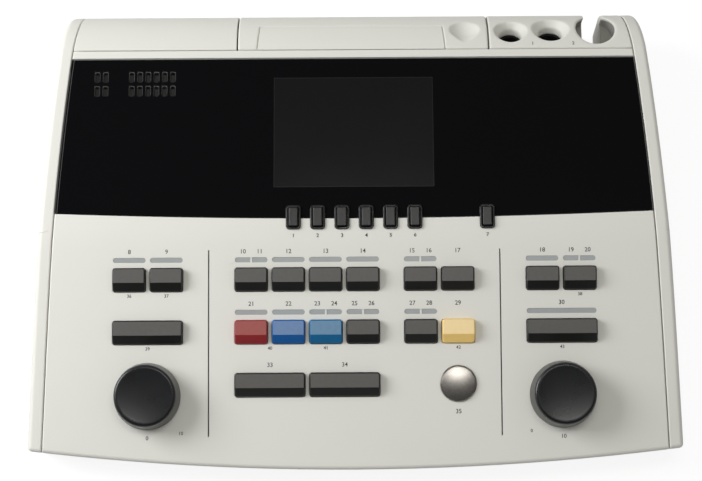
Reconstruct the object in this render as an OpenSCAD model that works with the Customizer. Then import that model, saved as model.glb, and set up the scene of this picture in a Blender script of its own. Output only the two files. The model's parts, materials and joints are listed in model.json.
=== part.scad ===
// Desktop audiometer console: a low wedge with a keypad, a black display lens,
// two side cheeks and a rounded rear ledge. X is right, Y is rear, Z is up,
// and the origin lies on the table under the middle of the console.

/* [Body] */
// Width over the two cheeks at the front corners
front_width = 380; // [372:1:388]
// Width over the two cheeks at the crest, where the rear ledge begins
crest_width = 352; // [346:1:358]
// How far each side bows outwards between the front and the crest
side_bow = 2.3; // [0:0.1:3]
// How far the front edge bows forwards at its middle
front_bow = 11.5; // [9:0.5:13]
// Height of the middle of the front edge above the table
front_height = 32; // [30:0.5:36]
// Slope of the keypad in degrees
key_tilt = 11; // [9:0.5:13]
// Slope of the display deck in degrees
deck_tilt = 3.5; // [2.5:0.5:5]
// Position of the fold between the keypad and the display deck
fold_y = -6.5; // [-7:0.1:-6]
// Radius of that soft fold
fold_radius = 120; // [60:10:140]
// Position of the crest, where the rear ledge begins
crest_y = 107; // [106:0.5:109]
// Thickness of the upper case panel
panel = 3; // [2.5:0.1:3.5]
// Width of each cheek on top
cheek_width = 8.3; // [7.5:0.1:9]
// Wall of a cheek
cheek_wall = 3.5; // [3:0.1:4]
// Visible gap between the case pieces
seam = 0.4; // [0.3:0.05:0.5]
// Wall of the lower case and of the flanges
wall = 2.5; // [2:0.1:3]
// Height at which the lower case ends and the upper pieces begin
parting_height = 14; // [13:0.5:15]
// How far the lower case is set back under the upper pieces
base_inset = 2; // [1.5:0.1:2.5]

/* [Rear ledge] */
// Radius of the rounded rear ledge
ledge_radius = 37; // [36:0.5:38]
// Slope of the ledge where it begins, in degrees
ledge_start = 5; // [4:0.5:6]
// Slope of the ledge at its lower lip, in degrees
ledge_end = 80.5; // [79:0.5:81]
// Wall of the ledge pieces
ledge_wall = 3; // [2.5:0.1:3.4]
// Left edge of the printer lid
lid_left = -69; // [-70:0.5:-68]
// Right edge of the printer lid
lid_right = 81; // [80:0.5:82]
// Gap on each side of the printer lid
lid_gap = 0.7; // [0.4:0.05:0.9]
// Opening angle of the printer lid
lid_swing = 65; // [50:5:70]
// Half width of the paper flap at its front edge
flap_half = 56.5; // [55:0.5:58]
// How far each side of the flap tapers in
flap_taper = 1.8; // [1:0.1:2.5]
// Thickness of the paper flap
flap_thickness = 1.8; // [1.4:0.1:2]
// Depth of the finger dimple in the lid
dimple_depth = 3.5; // [2:0.1:4]

/* [Test cavities] */
// Position of the small test cavity from the middle
small_cavity_x = 94.9; // [94:0.1:96]
// Mouth radius of the small test cavity
small_mouth_r = 9.8; // [9:0.1:10.2]
// Bore radius of the small test cavity
small_bore_r = 5.75; // [5:0.05:6]
// Position of the large test cavity from the middle
large_cavity_x = 119; // [118:0.1:120]
// Mouth radius of the large test cavity
large_mouth_r = 11.4; // [10.5:0.1:11.8]
// Bore radius of the large test cavity
large_bore_r = 6.25; // [5.5:0.05:6.6]
// Position of the probe holder from the middle
probe_x = 146.2; // [146:0.1:147]
// Mouth radius of the probe holder
probe_mouth_r = 11.6; // [11:0.1:12]
// Width of the slot that runs from the probe holder through the rear
probe_slot = 10.8; // [9:0.2:11]

/* [Keys] */
// Width of a single keycap
key_w = 19; // [18:0.1:19.6]
// Length of a keycap along the slope
key_l = 13.7; // [13:0.1:14.4]
// Corner radius of a keycap
key_corner = 1.5; // [1:0.1:2.5]
// Distance between neighbouring keys
key_pitch = 21.7; // [21.6:0.05:22]
// Distance between the key rows along the slope
row_pitch = 30.7; // [30:0.1:31.5]
// Distance of the first key row from the fold
first_row = 26.4; // [26:0.1:28]
// Distance of the outermost middle key from the middle
inner_key_x = 60.2; // [59.8:0.1:60.6]
// Distance of the outer key groups and the dials from the middle
group_x = 120.5; // [120:0.1:121]
// Height of a keycap's upper face above the panel
key_h = 4.6; // [3.8:0.1:5.2]
// Travel of a keycap
key_travel = 2; // [1:0.1:2.4]
// Gap around a keycap
key_gap = 0.3; // [0.3:0.05:0.5]
// Height of an indicator window
pill_l = 2.9; // [2.4:0.1:3.2]
// Distance of an indicator window from the middle of its key
pill_offset = 11.6; // [11.2:0.1:12]
// Distance of each divider groove from the middle
divider_x = 85; // [84.5:0.1:86]

/* [Function keys] */
// Width of a function key bezel
bezel_w = 8.8; // [8.4:0.1:9.2]
// Length of a function key bezel
bezel_l = 14.5; // [14:0.1:15]
// Corner radius of a function key bezel
bezel_corner = 2.2; // [1.6:0.1:2.6]
// Width of a function key
function_w = 5.3; // [4.9:0.1:5.6]
// Length of a function key
function_l = 11.3; // [10.8:0.1:11.6]
// Distance between neighbouring function keys
function_pitch = 14.25; // [14:0.05:14.6]
// Position of the single function key on the right
back_key_x = 78; // [77:0.1:79]
// Distance of the function keys from the fold
function_v = 10.2; // [9.8:0.1:10.6]
// Travel of a function key
function_travel = 1.2; // [0.8:0.1:1.4]

/* [Dials] */
// Radius of a dial at its flange
dial_r = 19.4; // [18:0.1:20.5]
// Height of a dial above the panel
dial_h = 16; // [14:0.5:18]
// Distance of the dials from the fold
dial_v = 94; // [93:0.1:95]
// Radius of a dial shaft
shaft_r = 3; // [2.5:0.1:3.5]

/* [Tone switch] */
// Position of the tone switch from the middle
tone_x = 59.9; // [59:0.1:61]
// Distance of the tone switch from the fold
tone_v = 87.5; // [87:0.1:88.5]
// Outer radius of the ring around the tone switch
tone_ring_r = 10.7; // [10.2:0.1:11]
// Travel of the tone switch
tone_travel = 1.2; // [0.8:0.1:1.5]

/* [Display] */
// Thickness of the display lens
lens_thickness = 2; // [1.6:0.1:2.2]
// Distance of the lens's front edge from the fold, in the middle
lens_front = 9.5; // [9:0.1:10]
// How far the lens's front edge curves back towards its ends
lens_bow = 3.7; // [3:0.1:4.5]
// Distance of the lens's rear edge from the fold
lens_rear = 108.8; // [108:0.1:109.4]
// Width of the picture window
window_w = 94.6; // [90:0.5:98]
// Length of the picture window
window_l = 67.6; // [64:0.5:70]
// Distance of the picture window's middle from the fold
window_v = 62.4; // [60:0.5:64]
// Width of a sound slot
slot_w = 3; // [2.6:0.1:3.2]
// Length of a sound slot
slot_l = 6.6; // [6:0.1:7]

/* [Inside] */
// Depth of the switch board under the panel
board_depth = 13.5; // [13:0.1:14.5]
// Thickness of a circuit board
board_thickness = 1.6; // [1.2:0.1:2]
// Height of a switch housing
switch_h = 6; // [5.5:0.1:6.4]
// Radius of a key stem
stem_r = 2; // [1.6:0.1:2.2]
// Radius of the paper roll
roll_r = 13; // [11:0.5:14]
// Width of the paper
paper_w = 112; // [110:1:112]
// Radius of the platen roller
platen_r = 5; // [4.5:0.1:5.4]

/* [Rear panel] */
// Position of the connector panel's front face
rear_panel_y = 128; // [127:0.5:128.5]
// Thickness of the connector panel
rear_panel_t = 2; // [1.6:0.1:2.4]
// Radius of a jack socket's bore
jack_r = 3.25; // [3:0.05:3.4]
// Distance between the jack sockets
jack_pitch = 16; // [15:0.5:17]

/* [Fasteners and feet] */
// Radius of a case screw's shank
screw_r = 1.5; // [1.2:0.1:1.8]
// Height of a rubber foot under the lower case
foot_h = 3; // [2:0.5:4]
// Radius of a rubber foot
foot_r = 8; // [6:0.5:9]

/* [Hidden] */

$fn = 64;
far = 400;
slack = 0.05;

// The front edge lies as far from the origin as the rear of the ledge
front_reach = crest_y - ledge_radius * sin(ledge_start) + ledge_radius;
// Heights of the fold and of the crest
fold_z = front_height + (fold_y + front_reach) * tan(key_tilt);
crest_z = fold_z + (crest_y - fold_y) * tan(deck_tilt);
// Centre of the rounded ledge
ledge_y = crest_y - ledge_radius * sin(ledge_start);
ledge_z = crest_z - ledge_radius * cos(ledge_start);
rear_y = ledge_y + ledge_radius;
lip_z = ledge_z + ledge_radius * cos(ledge_end);
// Plan curve of the front edge
bow_radius = (pow(front_width / 2, 2) + pow(front_bow, 2)) / (2 * front_bow);
corner_y = -front_reach + front_bow;
arc_steps = 24;
fold_steps = 8;

// Half width over the cheeks at a given depth
function side_x(y) =
    let (t = (y - corner_y) / (crest_y - corner_y))
    (front_width - (front_width - crest_width) * t) / 2 + side_bow * t * (1 - t) * (2.4 + 3.2 * t);
// Depth of the front edge at a given distance from the middle
function front_y(x) = bow_radius - front_reach - sqrt(pow(bow_radius, 2) - pow(x, 2));
// Height of the keypad plane and of the deck plane, each sunk by d
function key_z(y, d) = fold_z + (y - fold_y) * tan(key_tilt) - d / cos(key_tilt);
function deck_z(y, d) = fold_z + (y - fold_y) * tan(deck_tilt) - d / cos(deck_tilt);
// A point of the rounded ledge at slope s, sunk by d, as [y, z]
function ledge_point(s, d) =
    let (r = ledge_radius - d)
    [ledge_y + r * sin(s), ledge_z + r * cos(s)];
function ledge_arc(s0, s1, d) =
    [for (i = [0:arc_steps]) ledge_point(s0 + (s1 - s0) * i / arc_steps, d)];
// The soft fold, sunk by d
function fold_arc(d) =
    let (mean = (key_tilt + deck_tilt) / 2, half = (key_tilt - deck_tilt) / 2)
    let (cy = fold_y + fold_radius * sin(mean) / cos(half))
    let (cz = fold_z - fold_radius * cos(mean) / cos(half))
    [for (i = [0:fold_steps])
        let (a = key_tilt + (deck_tilt - key_tilt) * i / fold_steps)
        [cy - (fold_radius - d) * sin(a), cz + (fold_radius - d) * cos(a)]];
// Slope at which a feature of the ledge lies, from its distance to the crest
function ledge_slope(run) = ledge_start + run / ledge_radius * 180 / PI;

// Layout of the keys
columns = [
    -group_x - key_pitch / 2, -group_x + key_pitch / 2,
    -inner_key_x, -inner_key_x + key_pitch, -inner_key_x + 2 * key_pitch, -inner_key_x + 3 * key_pitch,
    inner_key_x - key_pitch, inner_key_x, group_x - key_pitch / 2, group_x + key_pitch / 2
];
wide_w = key_w + key_pitch;
// Each key: its place across, its row, its width, and its indicator window
// (0 none, 1 whole, 2 split in two)
keys = [
    [columns[0], 0, key_w, 1], [columns[1], 0, key_w, 1],
    [columns[2], 0, key_w, 2], [columns[3], 0, key_w, 1],
    [columns[4], 0, key_w, 1], [columns[5], 0, key_w, 1],
    [columns[6], 0, key_w, 2], [columns[7], 0, key_w, 0],
    [columns[8], 0, key_w, 1], [columns[9], 0, key_w, 2],
    [-group_x, 1, wide_w, 0],
    [columns[2], 1, key_w, 1], [columns[3], 1, key_w, 1],
    [columns[4], 1, key_w, 2], [columns[5], 1, key_w, 2],
    [columns[6], 1, key_w, 2], [columns[7], 1, key_w, 0],
    [group_x, 1, wide_w, 1],
    [(columns[2] + columns[3]) / 2, 2, wide_w, 0],
    [(columns[4] + columns[5]) / 2, 2, wide_w, 0]
];
function row_v(row) = -first_row - row * row_pitch;
function_x = concat([for (i = [0:5]) (i - 2.5) * function_pitch], [back_key_x]);

// Depths under the panel that the keys share
flange_t = 1;
flange_out = 1;
flange_gap = 0.3;
flange_low = panel + flange_gap + flange_t;
stem_end = board_depth - switch_h + 2.5;
key_well = board_depth - 1;
deck_plate = 2.5;
deck_low = lens_thickness + deck_plate;

// Screw posts
post_r = 4;
front_post_x = 158;
middle_post_x = side_x(20) - 25;
rear_post_x = side_x(70) - 26;
posts = [
    [-front_post_x, -112], [front_post_x, -112], [-middle_post_x, 20], [middle_post_x, 20],
    [-rear_post_x, 70], [large_cavity_x + 6, 92]
];
post_split = 20;
floor_z = foot_h + wall;
screw_head_r = 2.8;
front_foot_x = front_post_x - 8;
rear_foot_x = side_x(108) - 26;
feet = [
    [-front_foot_x, -105], [front_foot_x, -105], [-rear_foot_x, 108], [large_cavity_x - 1, 108]
];

// Printer
printer_x = -1.1;
plate_t = 2;
plate_in = paper_w / 2 + 2.3;
hinge_y = 132.5;
hinge_z = 38;
pin_r = 1.5;
hinge_eye = 2.65;
frame_front = 99;
frame_rear = 127;
roll_y = 114;
roll_z = 27;
hub_r = 5.6;
platen_y = 110.5;
platen_z = 54;
running = 0.06;

// Probe holder
probe_y = 122;
probe_floor = 38;
probe_rim = 2.6;
probe_chamber_r = probe_mouth_r + 1.6;
channel_wall = 2;
channel_front = 110.8;

// Works on the floor of the lower case
board_lift = 3.5;
pump_x = middle_post_x - 30;
pump_y = 48;
main_board_half = pump_x - 23;
main_board_front = -20;
main_board_l = 106;

// Speaker under its slots
speaker_x = 27 - rear_post_x;
speaker_v = 84;
speaker_depth = 16;
speaker_r = 20;

// Rear panel
rear_panel_top = lip_z - 0.4;
rear_panel_right = probe_x - probe_slot / 2 - channel_wall - 4;
socket_z = 19.5;
inlet_x = 34 - side_x(rear_panel_y);
inlet_w = 27;
inlet_h = 20;
rocker_x = inlet_x + 32;
rocker_w = 21;
rocker_h = 15;
data_x = rocker_x + 26;
jack_x = 74;
clips = [inlet_x - 15, inlet_x + 15, data_x - 13, jack_x + 21, jack_x + 41];

light_grey = [0.86, 0.855, 0.83];
dark = [0.12, 0.12, 0.13];
key_grey = [0.25, 0.25, 0.25];

// ---------- shared frames and outlines ----------

module on_keys() {
    translate([0, fold_y, fold_z]) rotate([key_tilt, 0, 0]) children();
}

module on_deck() {
    translate([0, fold_y, fold_z]) rotate([deck_tilt, 0, 0]) children();
}

// Stands on the rounded ledge at slope s, with Z straight out of it
module on_ledge(x, s) {
    translate([x, ledge_y, ledge_z]) rotate([-s, 0, 0]) translate([0, 0, ledge_radius]) children();
}

// Turns an outline drawn in depth and height into a prism across the console
module across(x0, x1) {
    translate([x0, 0, 0]) rotate([90, 0, 90]) linear_extrude(x1 - x0) children();
}

// Everything under the console's upper surface sunk by d, down to z0
module under_skin(d, z0, y_end) {
    across(-far / 2, far / 2)
        polygon(concat(
            [[-front_reach - 60, z0], [-front_reach - 60, key_z(-front_reach - 60, d)]],
            fold_arc(d),
            y_end < crest_y ? [[y_end, deck_z(y_end, d)]] : ledge_arc(ledge_start, 90, d),
            [[min(y_end, rear_y - d), z0]]
        ));
}

// Everything behind the bowed front edge, set back by inset, square to the keypad
module behind_front(inset) {
    reach = max(front_width, crest_width) / 2 + side_bow + 3;
    on_keys() translate([0, 0, -far / 2]) linear_extrude(far)
        polygon(concat(
            [for (i = [0:arc_steps])
                let (x = -reach + 2 * reach * i / arc_steps)
                [x, (front_y(x) - fold_y) / cos(key_tilt) + inset]],
            [[reach, far], [-reach, far]]
        ));
}

// The plan between the two sides, each set in by inset
module between_sides(inset, y0, y1) {
    linear_extrude(far / 2)
        polygon(concat(
            [for (i = [0:arc_steps]) let (y = y0 + (y1 - y0) * i / arc_steps) [side_x(y) - inset, y]],
            [for (i = [arc_steps:-1:0]) let (y = y0 + (y1 - y0) * i / arc_steps) [inset - side_x(y), y]]
        ));
}

// A rounded rectangle, w across and l along
module soft_rect(w, l, r) {
    square([w - 2 * r, l], center = true);
    square([w, l - 2 * r], center = true);
    for (sx = [-1, 1], sy = [-1, 1])
        translate([sx * (w / 2 - r), sy * (l / 2 - r)]) circle(r);
}

// The indicator window's outline: whole, or one half with a square inner end
module pill(w, kind) {
    half_gap = 0.55;
    if (kind == 1) {
        soft_rect(w, pill_l, pill_l / 2 - 0.001);
    }
    if (kind == 2) {
        for (side = [-1, 1])
            intersection() {
                soft_rect(w, pill_l, pill_l / 2 - 0.001);
                translate([side > 0 ? half_gap : -w, -pill_l]) square([w - half_gap, 2 * pill_l]);
            }
    }
}

// ---------- housings ----------

module lower_case() {
    color(light_grey)
    difference() {
        union() {
            difference() {
                base_block(base_inset, foot_h, parting_height);
                base_block(base_inset + wall, floor_z, far);
                translate([-far / 2, rear_panel_y - wall, floor_z]) cube([far, far, far]);
            }
            // Sockets that hold the connector panel
            for (x = clips)
                translate([x, rear_panel_y - 2.2, floor_z - 0.1]) cube([8, 2.2, 4]);
            for (x = clips)
                translate([x, rear_panel_y + rear_panel_t, floor_z - 0.1]) cube([8, 0.9, 2]);
            for (p = posts)
                translate([p[0], p[1], foot_h]) cylinder(r = post_r, h = post_split - foot_h);
            // Pillars for the main board
            for (side = [-1, 1], y = [8, main_board_l - 8])
                translate([side * (main_board_half - 10), main_board_front + y, foot_h + 0.5])
                    cylinder(r = 3, h = floor_z + board_lift - foot_h - 0.5);
        }
        for (p = posts) {
            translate([p[0], p[1], foot_h - 1]) cylinder(r = screw_r + slack, h = post_split);
            translate([p[0], p[1], foot_h - 1]) cylinder(r = screw_head_r + 0.3, h = 1 + 5);
        }
        for (f = feet)
            translate([f[0], f[1], foot_h - 1]) cylinder(r = foot_r + slack, h = 1 + 1);
        probe_notch(channel_wall);
    }
}

// The lower case's outer form, set in from the sides
module base_block(inset, z0, z1) {
    setback = (front_height - parting_height) * tan(key_tilt) + inset;
    intersection() {
        between_sides(inset, -front_reach - 10, rear_panel_y + rear_panel_t + 1);
        translate([0, 0, z0]) linear_extrude(z1 - z0)
            polygon(concat(
                [for (i = [0:arc_steps])
                    let (x = front_width / 2 * (2 * i / arc_steps - 1))
                    [x, front_y(x) + setback]],
                [[far / 2, far], [-far / 2, far]]
            ));
    }
}

// The slot of the probe holder, widened by extra, from the table to the top
module probe_notch(extra) {
    w = probe_slot + 2 * extra;
    translate([probe_x - w / 2, channel_front - extra + w / 2, -1]) cube([w, far, far / 4]);
    translate([probe_x, channel_front - extra + w / 2, -1]) cylinder(r = w / 2, h = far / 4);
}

module upper_case() {
    side = cheek_width + seam;
    y_end = crest_y - seam / 2;
    color(light_grey)
    difference() {
        union() {
            intersection() {
                under_skin(0, parting_height, y_end);
                behind_front(0);
                between_sides(side, -front_reach - 10, y_end);
                difference() {
                    cube([far, far, far], center = true);
                    case_hollow(side);
                }
            }
            // The deck is thicker under the lens
            intersection() {
                on_deck()
                    translate([-far / 2, lens_front - 3, -deck_low])
                        cube([far, lens_rear + 1 - lens_front + 3, deck_low - lens_thickness + 0.5]);
                between_sides(side + 0.5, -front_reach, y_end);
            }
            intersection() {
                union() {
                    for (p = posts)
                        translate([p[0], p[1], post_split]) cylinder(r = post_r, h = far / 4);
                    on_keys() board_bosses(board_stakes, board_depth);
                    on_deck() board_bosses(function_stakes, board_depth);
                }
                under_skin(panel - 0.5, floor_z, y_end);
            }
        }
        for (p = posts)
            translate([p[0], p[1], post_split - 1]) cylinder(r = screw_r + slack, h = 9);
        lens_pocket();
        on_keys() panel_holes();
        on_deck() deck_holes();
    }
}

// The hollow inside the upper case
module case_hollow(side) {
    intersection() {
        under_skin(panel, -1, crest_y + 20);
        behind_front(panel);
        between_sides(side + wall, -front_reach, crest_y + 20);
    }
}

board_stakes = [
    [-divider_x, -30], [divider_x, -30], [-divider_x, -112], [divider_x, -112], [21.7, -42], [21.7, -112]
];
function_stakes = [[-46, function_v], [57, function_v], [92, function_v]];

// Bosses under the panel, each with a stake that goes through its board
module board_bosses(places, depth) {
    for (p = places) {
        translate([p[0], p[1], -depth]) cylinder(r = 3, h = depth);
        translate([p[0], p[1], -depth - board_thickness - 0.6]) cylinder(r = 1.2, h = depth);
    }
}

module lens_outline(gap) {
    reach = front_width / 2;
    sweep = (pow(crest_width / 2, 2) + pow(lens_bow, 2)) / (2 * lens_bow);
    polygon(concat(
        [for (i = [0:arc_steps])
            let (x = reach * (2 * i / arc_steps - 1))
            [x, lens_front + sweep - sqrt(pow(sweep, 2) - pow(x, 2)) - gap]],
        [[reach, lens_rear + gap], [-reach, lens_rear + gap]]
    ));
}

module lens_pocket() {
    on_deck() translate([0, 0, -lens_thickness]) linear_extrude(20) lens_outline(slack);
}

// Holes through the keypad panel
module panel_holes() {
    low = -panel - 3;
    for (k = keys) {
        translate([k[0], row_v(k[1]), low]) linear_extrude(20)
            soft_rect(k[2] + 2 * key_gap, key_l + 2 * key_gap, key_corner + key_gap);
        translate([k[0], row_v(k[1]) + pill_offset, low]) linear_extrude(20)
            pill(k[2], k[3]);
    }
    for (side = [-1, 1]) {
        translate([side * group_x, -dial_v, low]) cylinder(r = shaft_r + 1.5 + slack, h = 20);
        translate([side * divider_x - 0.35, -117.5, -1]) cube([0.7, 108.5, 10]);
    }
    translate([tone_x, -tone_v, low]) cylinder(r = tone_ring_r + slack, h = 20);
}

// Holes through the display deck
module deck_holes() {
    for (x = function_x)
        translate([x, function_v, -deck_low - 4]) linear_extrude(30)
            soft_rect(bezel_w + 2 * slack, bezel_l + 2 * slack, bezel_corner + slack);
    translate([0, window_v, 0]) cube([window_w + 4, window_l + 4, 30], center = true);
    sound_slots(-0.3, -deck_low - 4);
}

// The two groups of sound slots in the left corner, widened by extra
module sound_slots(extra, low) {
    pitch = 4.9;
    first_row_v = 88.4;
    rows = 8.7;
    for (group = [[speaker_x - 25.9, 2], [speaker_x - 5.4, 6]], i = [0:5], j = [0:1])
        if (i < group[1])
            translate([group[0] + i * pitch, first_row_v + j * rows, low]) linear_extrude(30)
                soft_rect(slot_w + 2 * extra, slot_l + 2 * extra, 0.9);
}

module cheek(side) {
    color(light_grey)
    intersection() {
        difference() {
            under_skin(0, parting_height, far);
            intersection() {
                under_skin(panel, -1, far);
                behind_front(panel);
                between_sides(cheek_wall, -front_reach - 10, rear_y - panel);
            }
        }
        behind_front(0);
        between_sides(0, -front_reach - 10, rear_y + 1);
        translate([side > 0 ? 0 : -far, -far / 2, 0])
            cube([far, far, far]);
        difference() {
            cube([far, far, far], center = true);
            between_sides(cheek_width, -front_reach - 20, rear_y + 20);
        }
    }
}

module left_cheek() { cheek(-1); }
module right_cheek() { cheek(1); }

// ---------- display ----------

module display_lens() {
    color(dark)
    intersection() {
        on_deck() difference() {
            translate([0, 0, -lens_thickness]) linear_extrude(lens_thickness) lens_outline(0);
            for (x = function_x)
                translate([x, function_v, -10]) linear_extrude(20)
                    soft_rect(bezel_w + 0.2, bezel_l + 0.2, bezel_corner + 0.1);
            sound_slots(0, -10);
        }
        between_sides(cheek_width + seam, -front_reach, rear_y);
    }
}

module lcd_module() {
    frame = [window_w + 12, window_l + 12, 6];
    cell = [window_w + 2, window_l + 2, 1.5];
    color([0.3, 0.32, 0.33])
    on_deck() translate([0, window_v, -deck_low]) {
        difference() {
            translate([0, 0, -frame[2] / 2]) cube(frame, center = true);
            translate([0, 0, -cell[2] / 2]) cube([cell[0], cell[1], cell[2] + slack], center = true);
        }
        translate([0, 0, 0.2 - cell[2] / 2])
            cube([cell[0] - 0.4, cell[1] - 0.4, cell[2] - 0.4], center = true);
    }
}

module function_bezels() {
    top = 1.2;
    color(dark)
    on_deck()
        for (x = function_x)
            translate([x, function_v, -deck_low]) linear_extrude(deck_low + top)
                difference() {
                    soft_rect(bezel_w, bezel_l, bezel_corner);
                    soft_rect(function_w + 0.6, function_l + 0.6, 0.9);
                }
}

module indicator_windows() {
    color([0.62, 0.63, 0.62])
    on_keys()
        for (k = keys)
            translate([k[0], row_v(k[1]) + pill_offset, -panel]) linear_extrude(panel - 0.3)
                pill(k[2], k[3]);
}

// ---------- rear ledge ----------

// A curved wall of the ledge between two slopes and two depths
module ledge_wall_piece(x0, x1, s0, s1, d0, d1) {
    across(x0, x1)
        polygon(concat(ledge_arc(s0, s1, d0), ledge_arc(s1, s0, d1)));
}

// The solid under the ledge's curve, sunk by d, down to z0 and back to y0
module ledge_core(x0, x1, d, y0, z0) {
    across(x0, x1)
        polygon(concat([[y0, z0]], ledge_arc(seam_slope, ledge_end, d),
            [[ledge_point(ledge_end, d)[0], z0]]));
}

seam_slope = ledge_slope(seam / 2);
module_sides = cheek_width + seam;

// One fixed ledge shell with end walls, a lower lip and a front tongue
module ledge_cover(x0, x1) {
    y0 = crest_y + seam / 2;
    rib_limit = crest_width / 2 - cheek_width - 2;
    intersection() {
        union() {
            ledge_wall_piece(x0, x1, seam_slope, ledge_end, 0, ledge_wall);
            // End walls
            for (x = [max(x0, -rib_limit), min(x1, rib_limit) - 2 * wall])
                intersection() {
                    ledge_core(x, x + 2 * wall, ledge_wall / 2, y0, lip_z - 5);
                    across(x - 1, x + far)
                        translate([y0, lip_z]) square([far, far]);
                }
            // Lower lip, which closes the space above the connector panel
            translate([x0, rear_panel_y, lip_z - 0.4])
                cube([x1 - x0, ledge_point(ledge_end, ledge_wall / 2)[0] - rear_panel_y, 2]);
            // Tongue under the deck
            intersection() {
                on_deck() translate([x0, lens_rear - 3, -deck_low - 2])
                    cube([x1 - x0, 9, 2]);
                between_sides(module_sides + wall + 0.3, 0, rear_y + 1);
            }
        }
        between_sides(module_sides, 0, rear_y + 1);
    }
}

module rear_left_cover() {
    color(light_grey)
        ledge_cover(-crest_width / 2, lid_left - lid_gap);
}

small_slope = ledge_slope(14.05);
large_slope = ledge_slope(15.7);

// A funnel into the ledge: a wide mouth, a step and a bore
module cavity_funnel(x, slope, mouth, bore) {
    on_ledge(x, slope) {
        translate([0, 0, -5]) cylinder(r1 = bore + 1, r2 = mouth + 1.2, h = 6.5);
        translate([0, 0, -12]) cylinder(r = bore + 1, h = 7.01);
        translate([0, 0, -40]) cylinder(r = bore + 0.02, h = 50);
    }
}

module cavity_boss(x, slope, mouth) {
    on_ledge(x, slope) translate([0, 0, -10]) cylinder(r = mouth + 2, h = 12);
}

module cavity_module() {
    x0 = lid_right + lid_gap;
    x1 = crest_width / 2;
    y0 = crest_y + seam / 2;
    color(light_grey)
    difference() {
        intersection() {
            union() {
                ledge_cover(x0, x1);
                intersection() {
                    union() {
                        cavity_boss(small_cavity_x, small_slope, small_mouth_r);
                        cavity_boss(large_cavity_x, large_slope, large_mouth_r);
                        translate([probe_x, probe_y, probe_floor - 2])
                            cylinder(r = probe_chamber_r + 2, h = far / 4);
                        // Walls of the channel under the probe holder
                        probe_channel();
                        // Closing corner beside the channel
                        translate([probe_x, rear_panel_y, floor_z])
                            cube([far / 4, rear_panel_t, lip_z + 1 - floor_z]);
                    }
                    ledge_core(x0, x1, 0.01, y0, floor_z);
                    between_sides(module_sides, 0, rear_y + 1);
                }
            }
            under_skin(0, floor_z, far);
        }
        cavity_funnel(small_cavity_x, small_slope, small_mouth_r, small_bore_r);
        cavity_funnel(large_cavity_x, large_slope, large_mouth_r, large_bore_r);
        probe_notch(0);
        translate([probe_x, probe_y, probe_floor]) cylinder(r = probe_mouth_r, h = 60);
        // The holder is wider inside than its mouth
        intersection() {
            translate([probe_x, probe_y, probe_floor]) cylinder(r = probe_chamber_r, h = 60);
            under_skin(probe_rim, 0, far);
        }
    }
}

// The channel's walls reach from the lower case up into the ledge
module probe_channel() {
    intersection() {
        probe_notch(channel_wall - slack);
        translate([0, 0, foot_h]) cube([far, far, far / 4]);
    }
}

// Closed metal cups that form the two test cavities
module cavity_cups() {
    cup_wall = 1.2;
    small_depth = 5;
    large_depth = 16;
    seat = 10;
    color([0.07, 0.07, 0.07]) {
        cavity_cup(small_cavity_x, small_slope, small_bore_r, seat + small_depth, cup_wall);
        cavity_cup(large_cavity_x, large_slope, large_bore_r, seat + large_depth, cup_wall);
    }
}

module cavity_cup(x, slope, r, depth, t) {
    seat = 10;
    on_ledge(x, slope)
        difference() {
            translate([0, 0, -depth - t]) cylinder(r = r + t, h = depth + t - seat);
            translate([0, 0, -depth]) cylinder(r = r, h = depth);
        }
}

// ---------- printer ----------

module flap_plan(grow) {
    far_y = ledge_point(ledge_slope(18.7), 0)[0] + grow / 2;
    polygon([
        [printer_x - flap_half - grow, crest_y - 5],
        [printer_x + flap_half + grow, crest_y - 5],
        [printer_x + flap_half - flap_taper + grow, far_y],
        [printer_x - flap_half + flap_taper - grow, far_y]
    ]);
}

module paper_flap() {
    color(light_grey)
    intersection() {
        ledge_wall_piece(-far / 2, far / 2, seam_slope, 60, 0, flap_thickness - 0.02);
        linear_extrude(far) flap_plan(0);
    }
}

module printer_lid() {
    lug_x = plate_in + plate_t + 0.3;
    dimple_r = 14;
    color(light_grey) {
        difference() {
            union() {
                ledge_wall_piece(lid_left, lid_right, seam_slope, ledge_end, 0, ledge_wall);
                for (x = [lid_left, lid_right - wall])
                    ledge_wall_piece(x, x + wall, seam_slope, ledge_end - 14, ledge_wall / 2, ledge_wall + 4);
                // Thicker seat under the finger dimple
                on_ledge(67.2, ledge_slope(14)) intersection() {
                    translate([0, 0, -6.2]) cylinder(r = 11.5, h = 4.5);
                    translate([0, 0, -ledge_radius]) rotate([0, 90, 0])
                        cylinder(r = ledge_radius - 1, h = 40, center = true, $fn = 96);
                }
            }
            intersection() {
                ledge_wall_piece(-far / 2, far / 2, 0, 60, -1, flap_thickness);
                linear_extrude(far) flap_plan(0.25);
            }
            // Finger dimple, deepest towards the rear
            hull() {
                on_ledge(67.2, ledge_slope(15.2)) translate([0, 0, dimple_r - dimple_depth])
                    sphere(r = dimple_r, $fn = 48);
                on_ledge(67.2, ledge_slope(9.6)) translate([0, 0, dimple_r * 0.6 - dimple_depth * 0.45])
                    sphere(r = dimple_r * 0.6, $fn = 48);
            }
        }
        for (side = [-1, 1])
            translate([printer_x, 0, 0]) lid_lug(side, lug_x);
    }
}

// A lug with its hinge pin, hanging inside the lid
module lid_lug(side, lug_x) {
    x = side > 0 ? lug_x : -lug_x - plate_t;
    intersection() {
        across(x, x + plate_t) {
            translate([hinge_y, hinge_z]) circle(hinge_eye);
            translate([hinge_y - hinge_eye, hinge_z]) square([far, 12]);
        }
        ledge_core(-far / 2, far / 2, ledge_wall - 0.5, 0, 0);
    }
    across(side > 0 ? plate_in : -lug_x - plate_t / 2, side > 0 ? lug_x + plate_t / 2 : -plate_in)
        translate([hinge_y, hinge_z]) circle(pin_r);
}

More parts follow.
